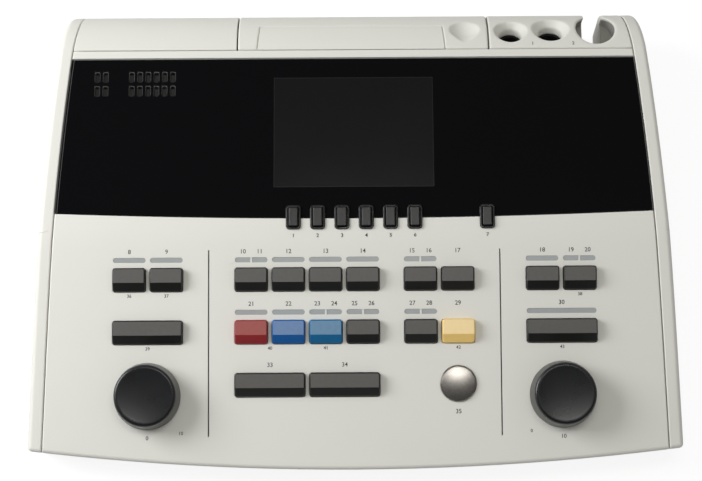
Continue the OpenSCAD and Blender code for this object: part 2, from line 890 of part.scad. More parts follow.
// Outline of a side plate of the printer frame
module side_plate_outline() {
    difference() {
        union() {
            polygon([
                [frame_front, floor_z], [frame_rear, floor_z], [frame_rear, hinge_z + 3],
                [frame_rear - 7, hinge_z + 6], [platen_y + 2.5, platen_z + 3],
                [platen_y - 5.5, platen_z + 4], [frame_front, platen_z - 6]
            ]);
            translate([hinge_y, hinge_z]) circle(hinge_eye);
            polygon([[frame_rear - 1, hinge_z - hinge_eye], [hinge_y, hinge_z - hinge_eye],
                [hinge_y, hinge_z + hinge_eye], [frame_rear - 1, hinge_z + hinge_eye]]);
        }
        translate([hinge_y, hinge_z]) circle(pin_r + running);
        translate([platen_y, platen_z]) circle(pin_r + running);
    }
}

module printer_frame() {
    color([0.62, 0.63, 0.64]) translate([printer_x, 0, 0]) {
        for (side = [-1, 1]) {
            x = side > 0 ? plate_in : -plate_in - plate_t;
            across(x, x + plate_t) side_plate_outline();
            // Hub that carries the paper roll
            translate([side * (plate_in - 4.5), 0, 0]) across(-4.51, 4.51)
                translate([roll_y, roll_z]) circle(hub_r);
        }
        translate([-plate_in, frame_front, floor_z])
            cube([2 * plate_in, frame_rear - frame_front, plate_t]);
        // Print head bar in front of the platen
        translate([-plate_in, platen_y - platen_r - 4.3, platen_z - 4]) cube([2 * plate_in, 4, 8]);
    }
}

module platen_roller() {
    color([0.15, 0.15, 0.15]) translate([printer_x, 0, 0]) {
        across(-paper_w / 2, paper_w / 2) translate([platen_y, platen_z]) circle(platen_r);
        across(-plate_in - plate_t, plate_in + plate_t) translate([platen_y, platen_z]) circle(pin_r);
    }
}

module paper_roll() {
    color("white") translate([printer_x, 0, 0])
        across(-paper_w / 2, paper_w / 2) translate([roll_y, roll_z])
            difference() {
                circle(roll_r);
                circle(hub_r + 0.3);
            }
}

// ---------- keys ----------

// A keycap: a wedge with a sloping front facet, a flange and a stem
module keycap(k, tint) {
    w = k[2];
    facet = 0.36 * key_l;
    color(tint)
    on_keys() translate([k[0], row_v(k[1]), 0]) {
        intersection() {
            translate([0, 0, -flange_low]) linear_extrude(flange_low + 20)
                soft_rect(w, key_l, key_corner);
            across(-w / 2 - 1, w / 2 + 1)
                polygon([
                    [-key_l, -flange_low], [key_l, -flange_low], [key_l, key_h],
                    [key_l / 2, key_h], [facet - key_l / 2, key_h], [-key_l / 2, key_h - 0.72 * facet],
                    [-key_l, key_h - 0.72 * facet]
                ]);
        }
        translate([0, 0, -flange_low]) linear_extrude(flange_t)
            soft_rect(w + 2 * flange_out, key_l + 2 * flange_out, key_corner);
        translate([0, 0, -stem_end]) cylinder(r = stem_r, h = stem_end - flange_low + 0.5);
    }
}

module key_1() { keycap(keys[0], key_grey); }
module key_2() { keycap(keys[1], key_grey); }
module key_3() { keycap(keys[2], key_grey); }
module key_4() { keycap(keys[3], key_grey); }
module key_5() { keycap(keys[4], key_grey); }
module key_6() { keycap(keys[5], key_grey); }
module key_7() { keycap(keys[6], key_grey); }
module key_8() { keycap(keys[7], key_grey); }
module key_9() { keycap(keys[8], key_grey); }
module key_10() { keycap(keys[9], key_grey); }
module left_wide_key() { keycap(keys[10], key_grey); }
module red_key() { keycap(keys[11], [0.55, 0.12, 0.14]); }
module blue_key() { keycap(keys[12], [0.1, 0.3, 0.62]); }
module light_blue_key() { keycap(keys[13], [0.12, 0.42, 0.62]); }
module key_11() { keycap(keys[14], key_grey); }
module key_12() { keycap(keys[15], key_grey); }
module cream_key() { keycap(keys[16], [0.93, 0.82, 0.5]); }
module right_wide_key() { keycap(keys[17], key_grey); }
module long_key_1() { keycap(keys[18], key_grey); }
module long_key_2() { keycap(keys[19], key_grey); }

// A small key in one of the bezels on the edge of the lens
module function_key(i) {
    top = 2.4;
    low = deck_low + flange_gap;
    color(key_grey)
    on_deck() translate([function_x[i], function_v, 0]) {
        translate([0, 0, -low]) linear_extrude(low + top) soft_rect(function_w, function_l, 0.6);
        translate([0, 0, -low - flange_t]) linear_extrude(flange_t)
            soft_rect(function_w + 1.6, function_l + 1.6, 0.6);
        translate([0, 0, -stem_end]) cylinder(r = stem_r, h = stem_end - low);
    }
}

module function_key_1() { function_key(0); }
module function_key_2() { function_key(1); }
module function_key_3() { function_key(2); }
module function_key_4() { function_key(3); }
module function_key_5() { function_key(4); }
module function_key_6() { function_key(5); }
module function_key_7() { function_key(6); }

module tone_switch_ring() {
    color([0.7, 0.69, 0.66])
    on_keys() translate([tone_x, -tone_v, -panel]) difference() {
        cylinder(r = tone_ring_r, h = panel + 0.7);
        translate([0, 0, -1]) cylinder(r = tone_ring_r - 0.5, h = panel + 4);
    }
}

module tone_switch_cap() {
    cap_r = tone_ring_r - 0.8;
    rim = 1.5;
    crown = 0.9;
    ball = (pow(cap_r, 2) + pow(crown, 2)) / (2 * crown);
    color([0.72, 0.7, 0.68])
    on_keys() translate([tone_x, -tone_v, 0]) {
        intersection() {
            translate([0, 0, -flange_low]) cylinder(r = cap_r, h = flange_low + rim + crown);
            translate([0, 0, rim + crown - ball]) sphere(r = ball, $fn = 200);
        }
        translate([0, 0, -flange_low]) cylinder(r = tone_ring_r + 0.3, h = flange_t);
        translate([0, 0, -stem_end]) cylinder(r = stem_r, h = stem_end - flange_low + 0.5);
    }
}

// ---------- dials ----------

module dial(side) {
    foot = 0.5;
    recess_r = 8.4;
    recess_top = 5;
    taper = 1.5;
    rim = 1.9;
    dish = 0.9;
    top_r = dial_r - taper;
    inner_r = top_r - rim - 0.5;
    color(dark)
    on_keys() translate([side * group_x, -dial_v, 0])
        rotate_extrude($fn = 128)
            polygon([
                [recess_r, foot], [dial_r - 0.4, foot], [dial_r, foot + 0.4], [dial_r, 1.7],
                [top_r, dial_h - rim],
                [top_r - rim + rim * cos(30), dial_h - rim + rim * sin(30)],
                [top_r - rim + rim * cos(60), dial_h - rim + rim * sin(60)],
                [top_r - rim, dial_h], [inner_r, dial_h - 0.15],
                [inner_r - 1, dial_h - 0.75 * dish], [inner_r - 2.2, dial_h - dish],
                [0, dial_h - dish - 0.2], [0, dial_h - 4],
                [shaft_r + 0.02, dial_h - 4], [shaft_r + 0.02, recess_top], [recess_r, recess_top]
            ]);
}

module left_dial() { dial(-1); }
module right_dial() { dial(1); }

module dial_shaft(side) {
    color([0.75, 0.75, 0.76])
    on_keys() translate([side * group_x, -dial_v, -panel - 7])
        cylinder(r = shaft_r, h = panel + 7 + dial_h - 4);
}

module left_dial_shaft() { dial_shaft(-1); }
module right_dial_shaft() { dial_shaft(1); }

// Rotary encoders under the panel, with their bushes and nuts
module dial_encoders() {
    bush_r = shaft_r + 1.5;
    color([0.55, 0.57, 0.58])
    on_keys()
        for (side = [-1, 1])
            translate([side * group_x, -dial_v, 0]) {
                difference() {
                    union() {
                        translate([-7, -7, -panel - 8]) cube([14, 14, 7.98]);
                        translate([0, 0, -panel - 1]) cylinder(r = bush_r, h = panel + 4.6);
                    }
                    translate([0, 0, -panel - 7.1]) cylinder(r = shaft_r + slack, h = 30);
                }
                difference() {
                    translate([0, 0, 0.02]) cylinder(r = 7, h = 2.4, $fn = 6);
                    translate([0, 0, -1]) cylinder(r = bush_r - slack, h = 5);
                }
            }
}

// ---------- boards and works ----------

module keypad_boards() {
    color([0.1, 0.35, 0.2]) {
        on_keys() translate([0, 0, -board_depth - board_thickness])
            difference() {
                translate([-group_x - 24, -121, 0]) cube([2 * group_x + 48, 103, board_thickness]);
                for (p = board_stakes)
                    translate([p[0], p[1], -1]) cylinder(r = 1.25, h = 5);
                // Room for the dial encoders
                for (side = [-1, 1])
                    translate([side * group_x - 9, -dial_v - 9, -1]) cube([18, 18, 5]);
            }
        on_deck() translate([0, 0, -board_depth - board_thickness])
            difference() {
                translate([-50, function_v - 8, 0]) cube([146, 16, board_thickness]);
                for (p = function_stakes)
                    translate([p[0], p[1], -1]) cylinder(r = 1.25, h = 5);
            }
    }
}

// One switch housing, with the well that a key stem slides in
module switch_housing(w) {
    translate([0, 0, -board_depth])
        difference() {
            translate([-w / 2, -w / 2, 0]) cube([w, w, switch_h]);
            translate([0, 0, 1]) cylinder(r = stem_r + 0.3, h = switch_h);
        }
}

module key_switches() {
    color([0.2, 0.2, 0.22]) {
        on_keys() {
            for (k = keys)
                translate([k[0], row_v(k[1]), 0]) switch_housing(9);
            translate([tone_x, -tone_v, 0]) switch_housing(9);
        }
        on_deck()
            for (x = function_x)
                translate([x, function_v, 0]) switch_housing(9);
    }
}

module main_board() {
    top = floor_z + board_lift + board_thickness;
    color([0.12, 0.38, 0.22]) {
        translate([-main_board_half, main_board_front, floor_z + board_lift])
            cube([2 * main_board_half, main_board_l, board_thickness]);
        // Transformer, capacitor, processor, memory and connectors
        translate([7 - main_board_half, 30, top - 0.01]) cube([40, 34, 26]);
        translate([-40, 50, top - 0.01]) cylinder(r = 9, h = 24);
        translate([-18, 50, top - 0.01]) cylinder(r = 9, h = 24);
        translate([10, 0, top - 0.01]) cube([28, 28, 2.4]);
        translate([48, 4, top - 0.01]) cube([22, 12, 2]);
        translate([48, 22, top - 0.01]) cube([22, 12, 2]);
        translate([-60, -14, top - 0.01]) cube([60, 8, 7]);
        translate([20, 66, top - 0.01]) cube([50, 8, 7]);
    }
}

// The speaker, with a gauze plate under the sound slots
module speaker() {
    rim = speaker_depth - 0.1;
    color([0.1, 0.1, 0.1])
    on_deck() translate([speaker_x, speaker_v, -deck_low - speaker_depth]) {
        rotate_extrude()
            polygon([
                [0, 0], [speaker_r - 9, 0], [speaker_r - 9, 6], [speaker_r - 3, rim - 2.9],
                [speaker_r, rim - 2.4], [speaker_r, rim], [speaker_r - 3, rim],
                [speaker_r - 5, rim - 2.4], [5, 9], [0, 10]
            ]);
        translate([-29.5, -1, rim - 1.2]) cube([53, 19.5, 1.2]);
    }
}

module air_pump() {
    color([0.5, 0.52, 0.54])
    translate([pump_x, pump_y, floor_z]) {
        translate([-15, -28, 0]) cube([30, 56, 3]);
        translate([-12, -26, 2.9]) cube([24, 16, 26]);
        translate([0, -11, 16]) rotate([-90, 0, 0]) cylinder(r = 12, h = 36);
        translate([-3, 14, 2.9]) cube([6, 9, 4]);
    }
}

// ---------- rear connectors ----------

module rear_panel() {
    half = side_x(rear_panel_y) - base_inset - wall - 0.2;
    color([0.72, 0.72, 0.7])
    difference() {
        translate([-half, rear_panel_y, floor_z])
            cube([half + rear_panel_right, rear_panel_t, rear_panel_top - floor_z]);
        socket_holes(slack);
    }
}

jacks = [for (i = [0:2]) jack_x + i * jack_pitch];

module box_at(x, w, h, y0, y1) {
    translate([x - w / 2, y0, socket_z - h / 2]) cube([w, y1 - y0, h]);
}

module bar_at(x, r, y0, y1) {
    translate([x, y0, socket_z]) rotate([-90, 0, 0]) cylinder(r = r, h = y1 - y0);
}

module socket_holes(gap) {
    box_at(inlet_x, inlet_w + 2 * gap, inlet_h + 2 * gap, rear_panel_y - 5, rear_panel_y + 10);
    box_at(rocker_x, rocker_w + 2 * gap, rocker_h + 2 * gap, rear_panel_y - 5, rear_panel_y + 10);
    box_at(data_x, 19 + 2 * gap, 10 + 2 * gap, rear_panel_y - 5, rear_panel_y + 10);
    for (x = jacks) bar_at(x, 4.5 + gap, rear_panel_y - 5, rear_panel_y + 10);
}

module rear_sockets() {
    back = rear_panel_y + rear_panel_t;
    color(dark) {
        // Mains inlet with its three blades
        difference() {
            union() {
                box_at(inlet_x, inlet_w, inlet_h, rear_panel_y - 14, back);
                box_at(inlet_x, inlet_w + 4, inlet_h + 4, back, back + 1.5);
            }
            box_at(inlet_x, inlet_w - 4, inlet_h - 4, rear_panel_y - 12, back + 5);
        }
        for (dx = [-7, 0, 7])
            translate([inlet_x + dx - 1, rear_panel_y - 12.1, socket_z - 2 + (dx == 0 ? 2 : -2)])
                cube([2, 8.5, 4]);
        // Frame of the mains switch
        difference() {
            union() {
                box_at(rocker_x, rocker_w, rocker_h, rear_panel_y - 12, back);
                box_at(rocker_x, rocker_w + 3, rocker_h + 3, back, back + 1.5);
            }
            box_at(rocker_x, rocker_w - 4, rocker_h - 3, rear_panel_y - 8, back + 5);
            bar_across_rocker(running);
        }
        // Data socket
        difference() {
            union() {
                box_at(data_x, 19, 10, rear_panel_y - 10, back);
                box_at(data_x, 27, 13, back, back + 1);
            }
            box_at(data_x, 16.5, 8, rear_panel_y - 6, back + 5);
        }
        for (x = jacks)
            difference() {
                union() {
                    bar_at(x, 4.5, rear_panel_y - 16, back);
                    bar_at(x, 6.5, back, back + 2);
                }
                bar_at(x, jack_r, rear_panel_y - 14, back + 5);
            }
    }
}

rocker_axis_y = rear_panel_y - 2;
rocker_throw = 16;

// The rocker's pivot pin, widened by gap
module bar_across_rocker(gap) {
    translate([rocker_x - rocker_w / 2 + 0.6, rocker_axis_y, socket_z]) rotate([0, 90, 0])
        cylinder(r = 1.2 + gap, h = rocker_w - 1.2);
}

module power_rocker() {
    w = rocker_w - 4.6;
    h = rocker_h / 2 - 2.6;
    color(dark) {
        across(rocker_x - w / 2, rocker_x + w / 2)
            translate([rocker_axis_y, socket_z]) rotate([0, 0, -rocker_throw / 2])
                polygon([
                    [-3, -1.5], [-3, 1.5], [2.6, h], [5.6, h - 0.3], [4.2, 0], [5.6, 0.3 - h], [2.6, -h]
                ]);
        bar_across_rocker(0);
    }
}

// ---------- feet and fasteners ----------

module rubber_feet() {
    color([0.1, 0.1, 0.1])
        for (f = feet)
            translate([f[0], f[1], 0]) {
                cylinder(r1 = foot_r - 1, r2 = foot_r, h = 1);
                translate([0, 0, 1]) cylinder(r = foot_r, h = foot_h);
            }
}

module case_screws() {
    color([0.7, 0.7, 0.72])
        for (p = posts)
            translate([p[0], p[1], foot_h + 5]) {
                cylinder(r = screw_r, h = post_split + 6.5 - foot_h - 5);
                translate([0, 0, -2.4]) difference() {
                    cylinder(r = screw_head_r, h = 2.4);
                    translate([0, 0, -1]) cylinder(r = 1.3, h = 2.4, $fn = 6);
                }
            }
}

lower_case();
upper_case();
left_cheek();
right_cheek();
display_lens();
lcd_module();
rear_left_cover();
cavity_module();
cavity_cups();
printer_lid();
paper_flap();
printer_frame();
platen_roller();
paper_roll();
function_bezels();
indicator_windows();
keypad_boards();
key_switches();
main_board();
speaker();
air_pump();
dial_encoders();
tone_switch_ring();
tone_switch_cap();
rear_panel();
rear_sockets();
power_rocker();
rubber_feet();
case_screws();
left_dial();
right_dial();
left_dial_shaft();
right_dial_shaft();
key_1();
key_2();
key_3();
key_4();
key_5();
key_6();
key_7();
key_8();
key_9();
key_10();
left_wide_key();
red_key();
blue_key();
light_blue_key();
key_11();
key_12();
cream_key();
right_wide_key();
long_key_1();
long_key_2();
function_key_1();
function_key_2();
function_key_3();
function_key_4();
function_key_5();
function_key_6();
function_key_7();
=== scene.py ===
"""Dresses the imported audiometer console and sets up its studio.

Every CAD node keeps its place. Most visible nodes are replaced by a copy of their own mesh with
rounded edges, and every node gets a procedural finish.
"""

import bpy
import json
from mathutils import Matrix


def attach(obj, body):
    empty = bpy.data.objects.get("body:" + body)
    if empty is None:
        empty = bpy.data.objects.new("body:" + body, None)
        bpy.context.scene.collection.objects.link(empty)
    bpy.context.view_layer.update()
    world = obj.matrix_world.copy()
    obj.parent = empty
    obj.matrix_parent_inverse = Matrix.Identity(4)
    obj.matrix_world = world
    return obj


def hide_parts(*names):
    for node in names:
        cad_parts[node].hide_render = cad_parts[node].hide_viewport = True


bl_info = {
    "name": "Audiometer console",
    "version": (1, 0, 0),
    "blender": (4, 5, 0),
    "location": "View3D > Sidebar > Console",
    "description": "Finishes, soft edges, key numbers and studio for a desktop audiometer console",
    "category": "Object",
}

import json
import math

import bmesh
import bpy
from mathutils import Matrix, Vector

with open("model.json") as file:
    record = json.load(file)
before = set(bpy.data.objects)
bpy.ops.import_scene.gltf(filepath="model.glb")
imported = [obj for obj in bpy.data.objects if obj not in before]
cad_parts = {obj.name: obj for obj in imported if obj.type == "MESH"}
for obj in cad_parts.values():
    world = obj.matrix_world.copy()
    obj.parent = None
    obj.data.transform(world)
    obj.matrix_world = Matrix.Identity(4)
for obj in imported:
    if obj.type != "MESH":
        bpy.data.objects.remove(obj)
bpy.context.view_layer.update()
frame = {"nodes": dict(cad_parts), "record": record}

MM = 0.001
BODY_OF = {
    node: body for body, nodes in frame["record"]["behaviour"]["bodies"].items() for node in nodes
}
SLOT_OF = {part["node"]: part["material_slot"] for part in frame["record"]["subparts"]}

# Places that the CAD shares with the finishes and the printed numbers, in millimetres and degrees
KEY_TILT = 11.0
DECK_TILT = 3.5
FOLD = Vector((0.0, -6.5, 58.1))
LEDGE_CENTRE = (103.775, 28.183)
LEDGE_RADIUS = 37.0
KEY_PITCH = 21.7
INNER_KEY_X = 60.2
GROUP_X = 120.5
LONG_KEYS_X = (-49.35, -5.95)
TONE_SWITCH_X = 59.9
# Places of the rows of keys, the dials and the divider lines along the keypad's slope
ROWS = (-26.4, -57.1, -87.8)
DIAL_V = -94.0
DIVIDER_X = 85.0
DIVIDER_ENDS = (-117.3, -9.2)
# Heights of keycaps and dials above the keypad, and of the part of a dial above its side, which is painted
# greyer as a painted reflection
KEY_TOP = 4.6
DIAL_TOP = 16.0
DIAL_RIM = 2.2
# Picture window: half its width, and its front and rear ends; then the lens's rear edge
WINDOW = (47.3, 22.05, 89.52)
LENS_REAR = 102.1
# Field of the sound slots: left, right, front and rear
SLOT_FIELD = (-157.0, -103.0, 76.0, 98.0)
# Probe holder: its place across and in depth, the radius of its mouth and the height of its floor
HOLDER_X = 146.2
HOLDER_Y = 122.0
HOLDER_RADIUS = 11.6
HOLDER_FLOOR = 37.7
# Bowed side: half width at the front corners and at the crest, their depths, and the bow
FRONT_HALF_WIDTH = 190.0
REAR_HALF_WIDTH = 176.0
FRONT_Y = -129.275
CREST_Y = 107.0
BOW = 2.3
LENS_INSET = 8.7

COLUMNS = (
    -GROUP_X - KEY_PITCH / 2, -GROUP_X + KEY_PITCH / 2,
    -INNER_KEY_X, -INNER_KEY_X + KEY_PITCH, -INNER_KEY_X + 2 * KEY_PITCH, -INNER_KEY_X + 3 * KEY_PITCH,
    INNER_KEY_X - KEY_PITCH, INNER_KEY_X, GROUP_X - KEY_PITCH / 2, GROUP_X + KEY_PITCH / 2,
)


def tilted(tilt):
    """The frame that stands on the fold with the slope of the keypad or of the deck, in metres."""
    return Matrix.Translation(FOLD * MM) @ Matrix.Rotation(math.radians(tilt), 4, "X")


KEY_FRAME = tilted(KEY_TILT)
DECK_FRAME = tilted(DECK_TILT)
TO_KEYS = KEY_FRAME.inverted()
TO_DECK = DECK_FRAME.inverted()


# ---------- settings ----------


def colour(label, description, value):
    return bpy.props.FloatVectorProperty(
        name=label, description=description, subtype="COLOR", size=3, min=0.0, max=1.0, default=value
    )


def length(label, description, value):
    return bpy.props.FloatProperty(
        name=label, description=description, unit="LENGTH", min=0.0, default=value * MM, precision=5
    )


class ConsoleColours(bpy.types.PropertyGroup):
    """Colours of the console's mouldings and keys, and of the painted shade, sheen, reflection and
    highlights on them.
    """

    shell: colour("Shell", "Light moulded plastic of the case", (0.75, 0.74, 0.675))
    # Painted shade inside the probe holder, below its mouth
    painted_holder_shade: colour("Lining", "Matt lining of the probe holder", (0.36, 0.355, 0.315))
    key: colour("Keys", "Plain keys", (0.012, 0.0115, 0.011))
    # The key tops' colours are lighter than the keys' own colours: a painted sheen on their flat tops
    key_painted_sheen: colour("Key tops", "Satin tops of the plain keys", (0.098, 0.092, 0.084))
    key_red: colour("Red key", "Red key", (0.30, 0.020, 0.023))
    key_red_painted_sheen: colour("Red key top", "Satin top of the red key", (0.345, 0.078, 0.067))
    key_blue: colour("Blue key", "Blue key", (0.004, 0.105, 0.36))
    key_blue_painted_sheen: colour("Blue key top", "Satin top of the blue key", (0.135, 0.230, 0.41))
    key_light_blue: colour("Light blue key", "Light blue key", (0.004, 0.14, 0.33))
    key_light_blue_painted_sheen: colour(
        "Light blue key top", "Satin top of the light blue key", (0.125, 0.250, 0.38)
    )
    key_cream: colour("Cream key", "Cream key", (0.97, 0.67, 0.22))
    key_cream_painted_sheen: colour("Cream key top", "Satin top of the cream key", (0.95, 0.73, 0.37))
    dial: colour("Dials", "Soft-touch tops of the dials", (0.0105, 0.011, 0.012))
    # Painted reflection: the dials' sides take a greyer colour than their tops
    dial_side_painted_reflection: colour("Dial sides", "Sleeves around the dials", (0.032, 0.032, 0.029))
    # Painted highlight: the light lines in the lens's edges and on the walls of its sound slots
    lens_edge_highlight: colour("Lens edge", "Light in the clear edge of the lens", (0.20, 0.21, 0.19))
    lens: colour("Lens", "Black display lens", (0.0035, 0.0035, 0.004))
    window: colour("Picture window", "Display behind the lens", (0.0075, 0.0075, 0.008))
    indicator: colour("Indicator windows", "Unlit indicator windows", (0.34, 0.36, 0.355))
    steel: colour("Tone switch", "Bead-blasted steel", (0.43, 0.405, 0.378))
    print_ink: colour("Numbers", "Ink of the printed numbers", (0.022, 0.022, 0.022))


class ConsoleEdges(bpy.types.PropertyGroup):
    """Radii of the rounded edges, and the cell size of the softened pieces."""

    front: length("Front edge", "Rounding of the front edge of case and cheeks", 2.4)
    cheek: length("Cheek", "Rounding of a cheek's outer edge", 3.0)
    seam: length("Seams", "Rounding beside the seams", 0.9)
    hole: length("Key openings", "Rounding of the openings around the keys", 0.22)
    key: length("Keys", "Rounding of a keycap's edges", 0.8)
    grain: length("Remesh size", "Cell size of the softened ledge pieces", 0.52)


def colours():
    return bpy.context.scene.console_colours


def edges():
    return bpy.context.scene.console_edges


# ---------- material nodes ----------


class Value:
    """A number socket whose arithmetic adds Math nodes."""

    def __init__(self, tree, socket):
        self.tree = tree
        self.socket = socket

    def math(self, operation, *others, clamp=False):
        node = self.tree.nodes.new("ShaderNodeMath")
        node.operation = operation
        node.use_clamp = clamp
        for slot, item in zip(node.inputs, (self,) + others):
            if isinstance(item, Value):
                self.tree.links.new(item.socket, slot)
            else:
                slot.default_value = item
        return Value(self.tree, node.outputs[0])

    def __add__(self, other):
        return self.math("ADD", other)

    def __sub__(self, other):
        return self.math("SUBTRACT", other)

    def __mul__(self, other):
        return self.math("MULTIPLY", other)

    def __pow__(self, other):
        return self.math("POWER", other)

    def __lt__(self, other):
        return self.math("LESS_THAN", other)

    def __gt__(self, other):
        return self.math("GREATER_THAN", other)

    def __abs__(self):
        return self.math("ABSOLUTE")

    def __rsub__(self, other):
        node = self.tree.nodes.new("ShaderNodeMath")
        node.operation = "SUBTRACT"
        node.inputs[0].default_value = other
        self.tree.links.new(self.socket, node.inputs[1])
        return Value(self.tree, node.outputs[0])


class Finish:
    """One material, with a Principled shader and the nodes that feed it."""

    COAT_ROUGHNESS = 0.05

    def __init__(self, name, base, roughness, metallic=0.0, specular=0.5, coat=0.0):
        self.material = bpy.data.materials.new(name)
        self.material.use_nodes = True
        self.material.diffuse_color = (*base, 1.0)
        self.tree = self.material.node_tree
        self.shader = self.tree.nodes["Principled BSDF"]
        for label, value in (
            ("Base Color", (*base, 1.0)), ("Roughness", roughness), ("Metallic", metallic),
            ("Specular IOR Level", specular), ("Coat Weight", coat),
            ("Coat Roughness", self.COAT_ROUGHNESS),
        ):
            self.shader.inputs[label].default_value = value
        self.position = self.node("ShaderNodeTexCoord").outputs["Object"]
        self.base = base

    def node(self, kind, settings=None, **values):
        """Adds a node: its settings first, then the values or links of its sockets."""
        node = self.tree.nodes.new(kind)
        for key, value in (settings or {}).items():
            setattr(node, key, value)
        for label, value in values.items():
            self.feed(node.inputs[label], value)
        return node

    def feed(self, socket, value):
        if isinstance(value, Value):
            value = value.socket
        if isinstance(value, bpy.types.NodeSocket):
            self.tree.links.new(value, socket)
        else:
            socket.default_value = value

    def noise(self, scale, detail=2.0, roughness=0.5):
        node = self.node(
            "ShaderNodeTexNoise", Vector=self.position, Scale=scale, Detail=detail, Roughness=roughness
        )
        return Value(self.tree, node.outputs["Fac"])

    def axes(self):
        node = self.node("ShaderNodeSeparateXYZ", Vector=self.position)
        return [Value(self.tree, out) for out in node.outputs]

    def mix(self, factor, first, second):
        """A colour between two colours, or sockets."""
        node = self.node("ShaderNodeMix", {"data_type": "RGBA"})
        self.feed(node.inputs[0], factor)
        for socket, value in ((node.inputs[6], first), (node.inputs[7], second)):
            self.feed(socket, (*value, 1.0) if isinstance(value, tuple) and len(value) == 3 else value)
        return node.outputs[2]

    def set(self, label, value):
        self.feed(self.shader.inputs[label], value)

    def grain(self, size, depth, strength):
        """Moulded or blasted grain: two noises of a size and a depth in metres."""
        fine = self.noise(1.0 / size, 2.0, 0.6)
        coarse = self.noise(0.31 / size, 1.0, 0.5)
        height = fine * 0.7 + coarse * 0.3
        bump = self.node("ShaderNodeBump", Height=height, Distance=depth, Strength=strength)
        self.set("Normal", bump.outputs["Normal"])

    def vary(self, scale, amount, roughness_amount=0.0, roughness=None):
        """Faint unevenness of the colour and of the roughness."""
        blotch = self.noise(scale, 3.0, 0.55)
        self.set("Base Color", self.mix(blotch, *shades(self.base, amount)))
        if roughness is not None:
            self.set("Roughness", blotch * (2.0 * roughness_amount) + (roughness - roughness_amount))


def grey(level):
    return (level, level, level)


def shades(tint, amount):
    """A slightly darker and a slightly lighter shade of a colour."""
    return tuple(c * (1.0 - amount) for c in tint), tuple(min(1.0, c * (1.0 + amount)) for c in tint)


def height_above(y, z, tilt):
    """Height above the slope of the keypad or of the deck, in metres."""
    slope = math.radians(tilt)
    return (z - FOLD.z * MM) * math.cos(slope) - (y - FOLD.y * MM) * math.sin(slope)


def near_slots(x, y):
    """Whether a point lies in the field of the sound slots."""
    left, right, near, far = (value * MM for value in SLOT_FIELD)
    return (x > left) * (x < right) * (y > near) * (y < far)


def distance(first, second, centre):
    """Distance of two coordinates in metres from a centre in millimetres."""
    return (((first - centre[0] * MM) ** 2.0) + ((second - centre[1] * MM) ** 2.0)).math("SQRT")


def half_width(y):
    """Half the console's width at a depth in metres, in millimetres, along its bowed side."""
    t = y * (1000.0 / (CREST_Y - FRONT_Y)) - FRONT_Y / (CREST_Y - FRONT_Y)
    bow = t * (1.0 - t) * (t * 3.2 + 2.4) * BOW
    return t * (REAR_HALF_WIDTH - FRONT_HALF_WIDTH) + bow + FRONT_HALF_WIDTH


def shell_finish():
    """Light moulding, painted darker inside the probe holder as painted shade, and painted black below the
    sound slots as painted shade.
    """
    painted_shade_past_mouth = 2.0
    skin_thickness = 2.4
    deck_top, deck_bottom = -1.0, -7.0
    made = Finish("shell_light", tuple(colours().shell), 0.52, specular=0.4)
    blotch = made.noise(35.0, 3.0, 0.55)
    plain = made.mix(blotch, *shades(colours().shell, 0.012))
    made.set("Roughness", blotch * 0.08 + 0.48)
    x, y, z = made.axes()
    # Painted shade: inside the probe holder, below the ledge's skin and above its floor, the moulding takes
    # a darker colour
    in_holder = distance(x, y, (HOLDER_X, HOLDER_Y)) < (HOLDER_RADIUS + painted_shade_past_mouth) * MM
    below_skin = distance(y, z, LEDGE_CENTRE) < (LEDGE_RADIUS - skin_thickness) * MM
    painted_holder_shade = in_holder * (z > HOLDER_FLOOR * MM) * below_skin
    height = height_above(y, z, DECK_TILT)
    # Painted shade: the moulding below the sound slots is painted black
    painted_slot_shade = near_slots(x, y) * (height < deck_top * MM) * (height > deck_bottom * MM)
    holder_shaded = made.mix(painted_holder_shade, plain, tuple(colours().painted_holder_shade))
    made.set("Base Color", made.mix(painted_slot_shade, holder_shaded, grey(0.006)))
    made.grain(0.00045, 0.00003, 0.35)
    return made.material


def key_finish(name, base, top):
    """A keycap: its flat top painted lighter as a painted sheen, and rougher there; darker and smoother on
    its edges and its facet.
    """
    just_below = 0.03
    spread = 0.14 if max(top) < 0.5 else 0.05
    made = Finish(name, tuple(base), 0.4)
    _, y, z = made.axes()
    on_top = height_above(y, z, KEY_TILT) > (KEY_TOP - just_below) * MM
    streaks = made.noise(420.0, 3.0, 0.6)
    painted_sheen = made.mix(streaks, *shades(top, spread))
    # Painted sheen: the flat top takes the lighter colour
    made.set("Base Color", made.mix(on_top, made.base, painted_sheen))
    made.set("Roughness", on_top * 0.12 + streaks * 0.08 + 0.30)
    made.grain(0.00018, 0.000012, 0.5)
    return made.material


def dial_finish():
    """Soft-touch black, with the side below the rim painted slightly greyer as a painted reflection."""
    made = Finish("dial_black", tuple(colours().dial), 0.28)
    _, y, z = made.axes()
    on_side = height_above(y, z, KEY_TILT) < (DIAL_TOP - DIAL_RIM) * MM
    blotch = made.noise(90.0, 3.0, 0.55)
    top = made.mix(blotch, *shades(colours().dial, 0.1))
    # Painted reflection on the side below the rim
    made.set("Base Color", made.mix(on_side, top, tuple(colours().dial_side_painted_reflection)))
    made.set("Roughness", blotch * 0.08 + on_side * 0.06 + 0.24)
    made.grain(0.00022, 0.00001, 0.3)
    return made.material


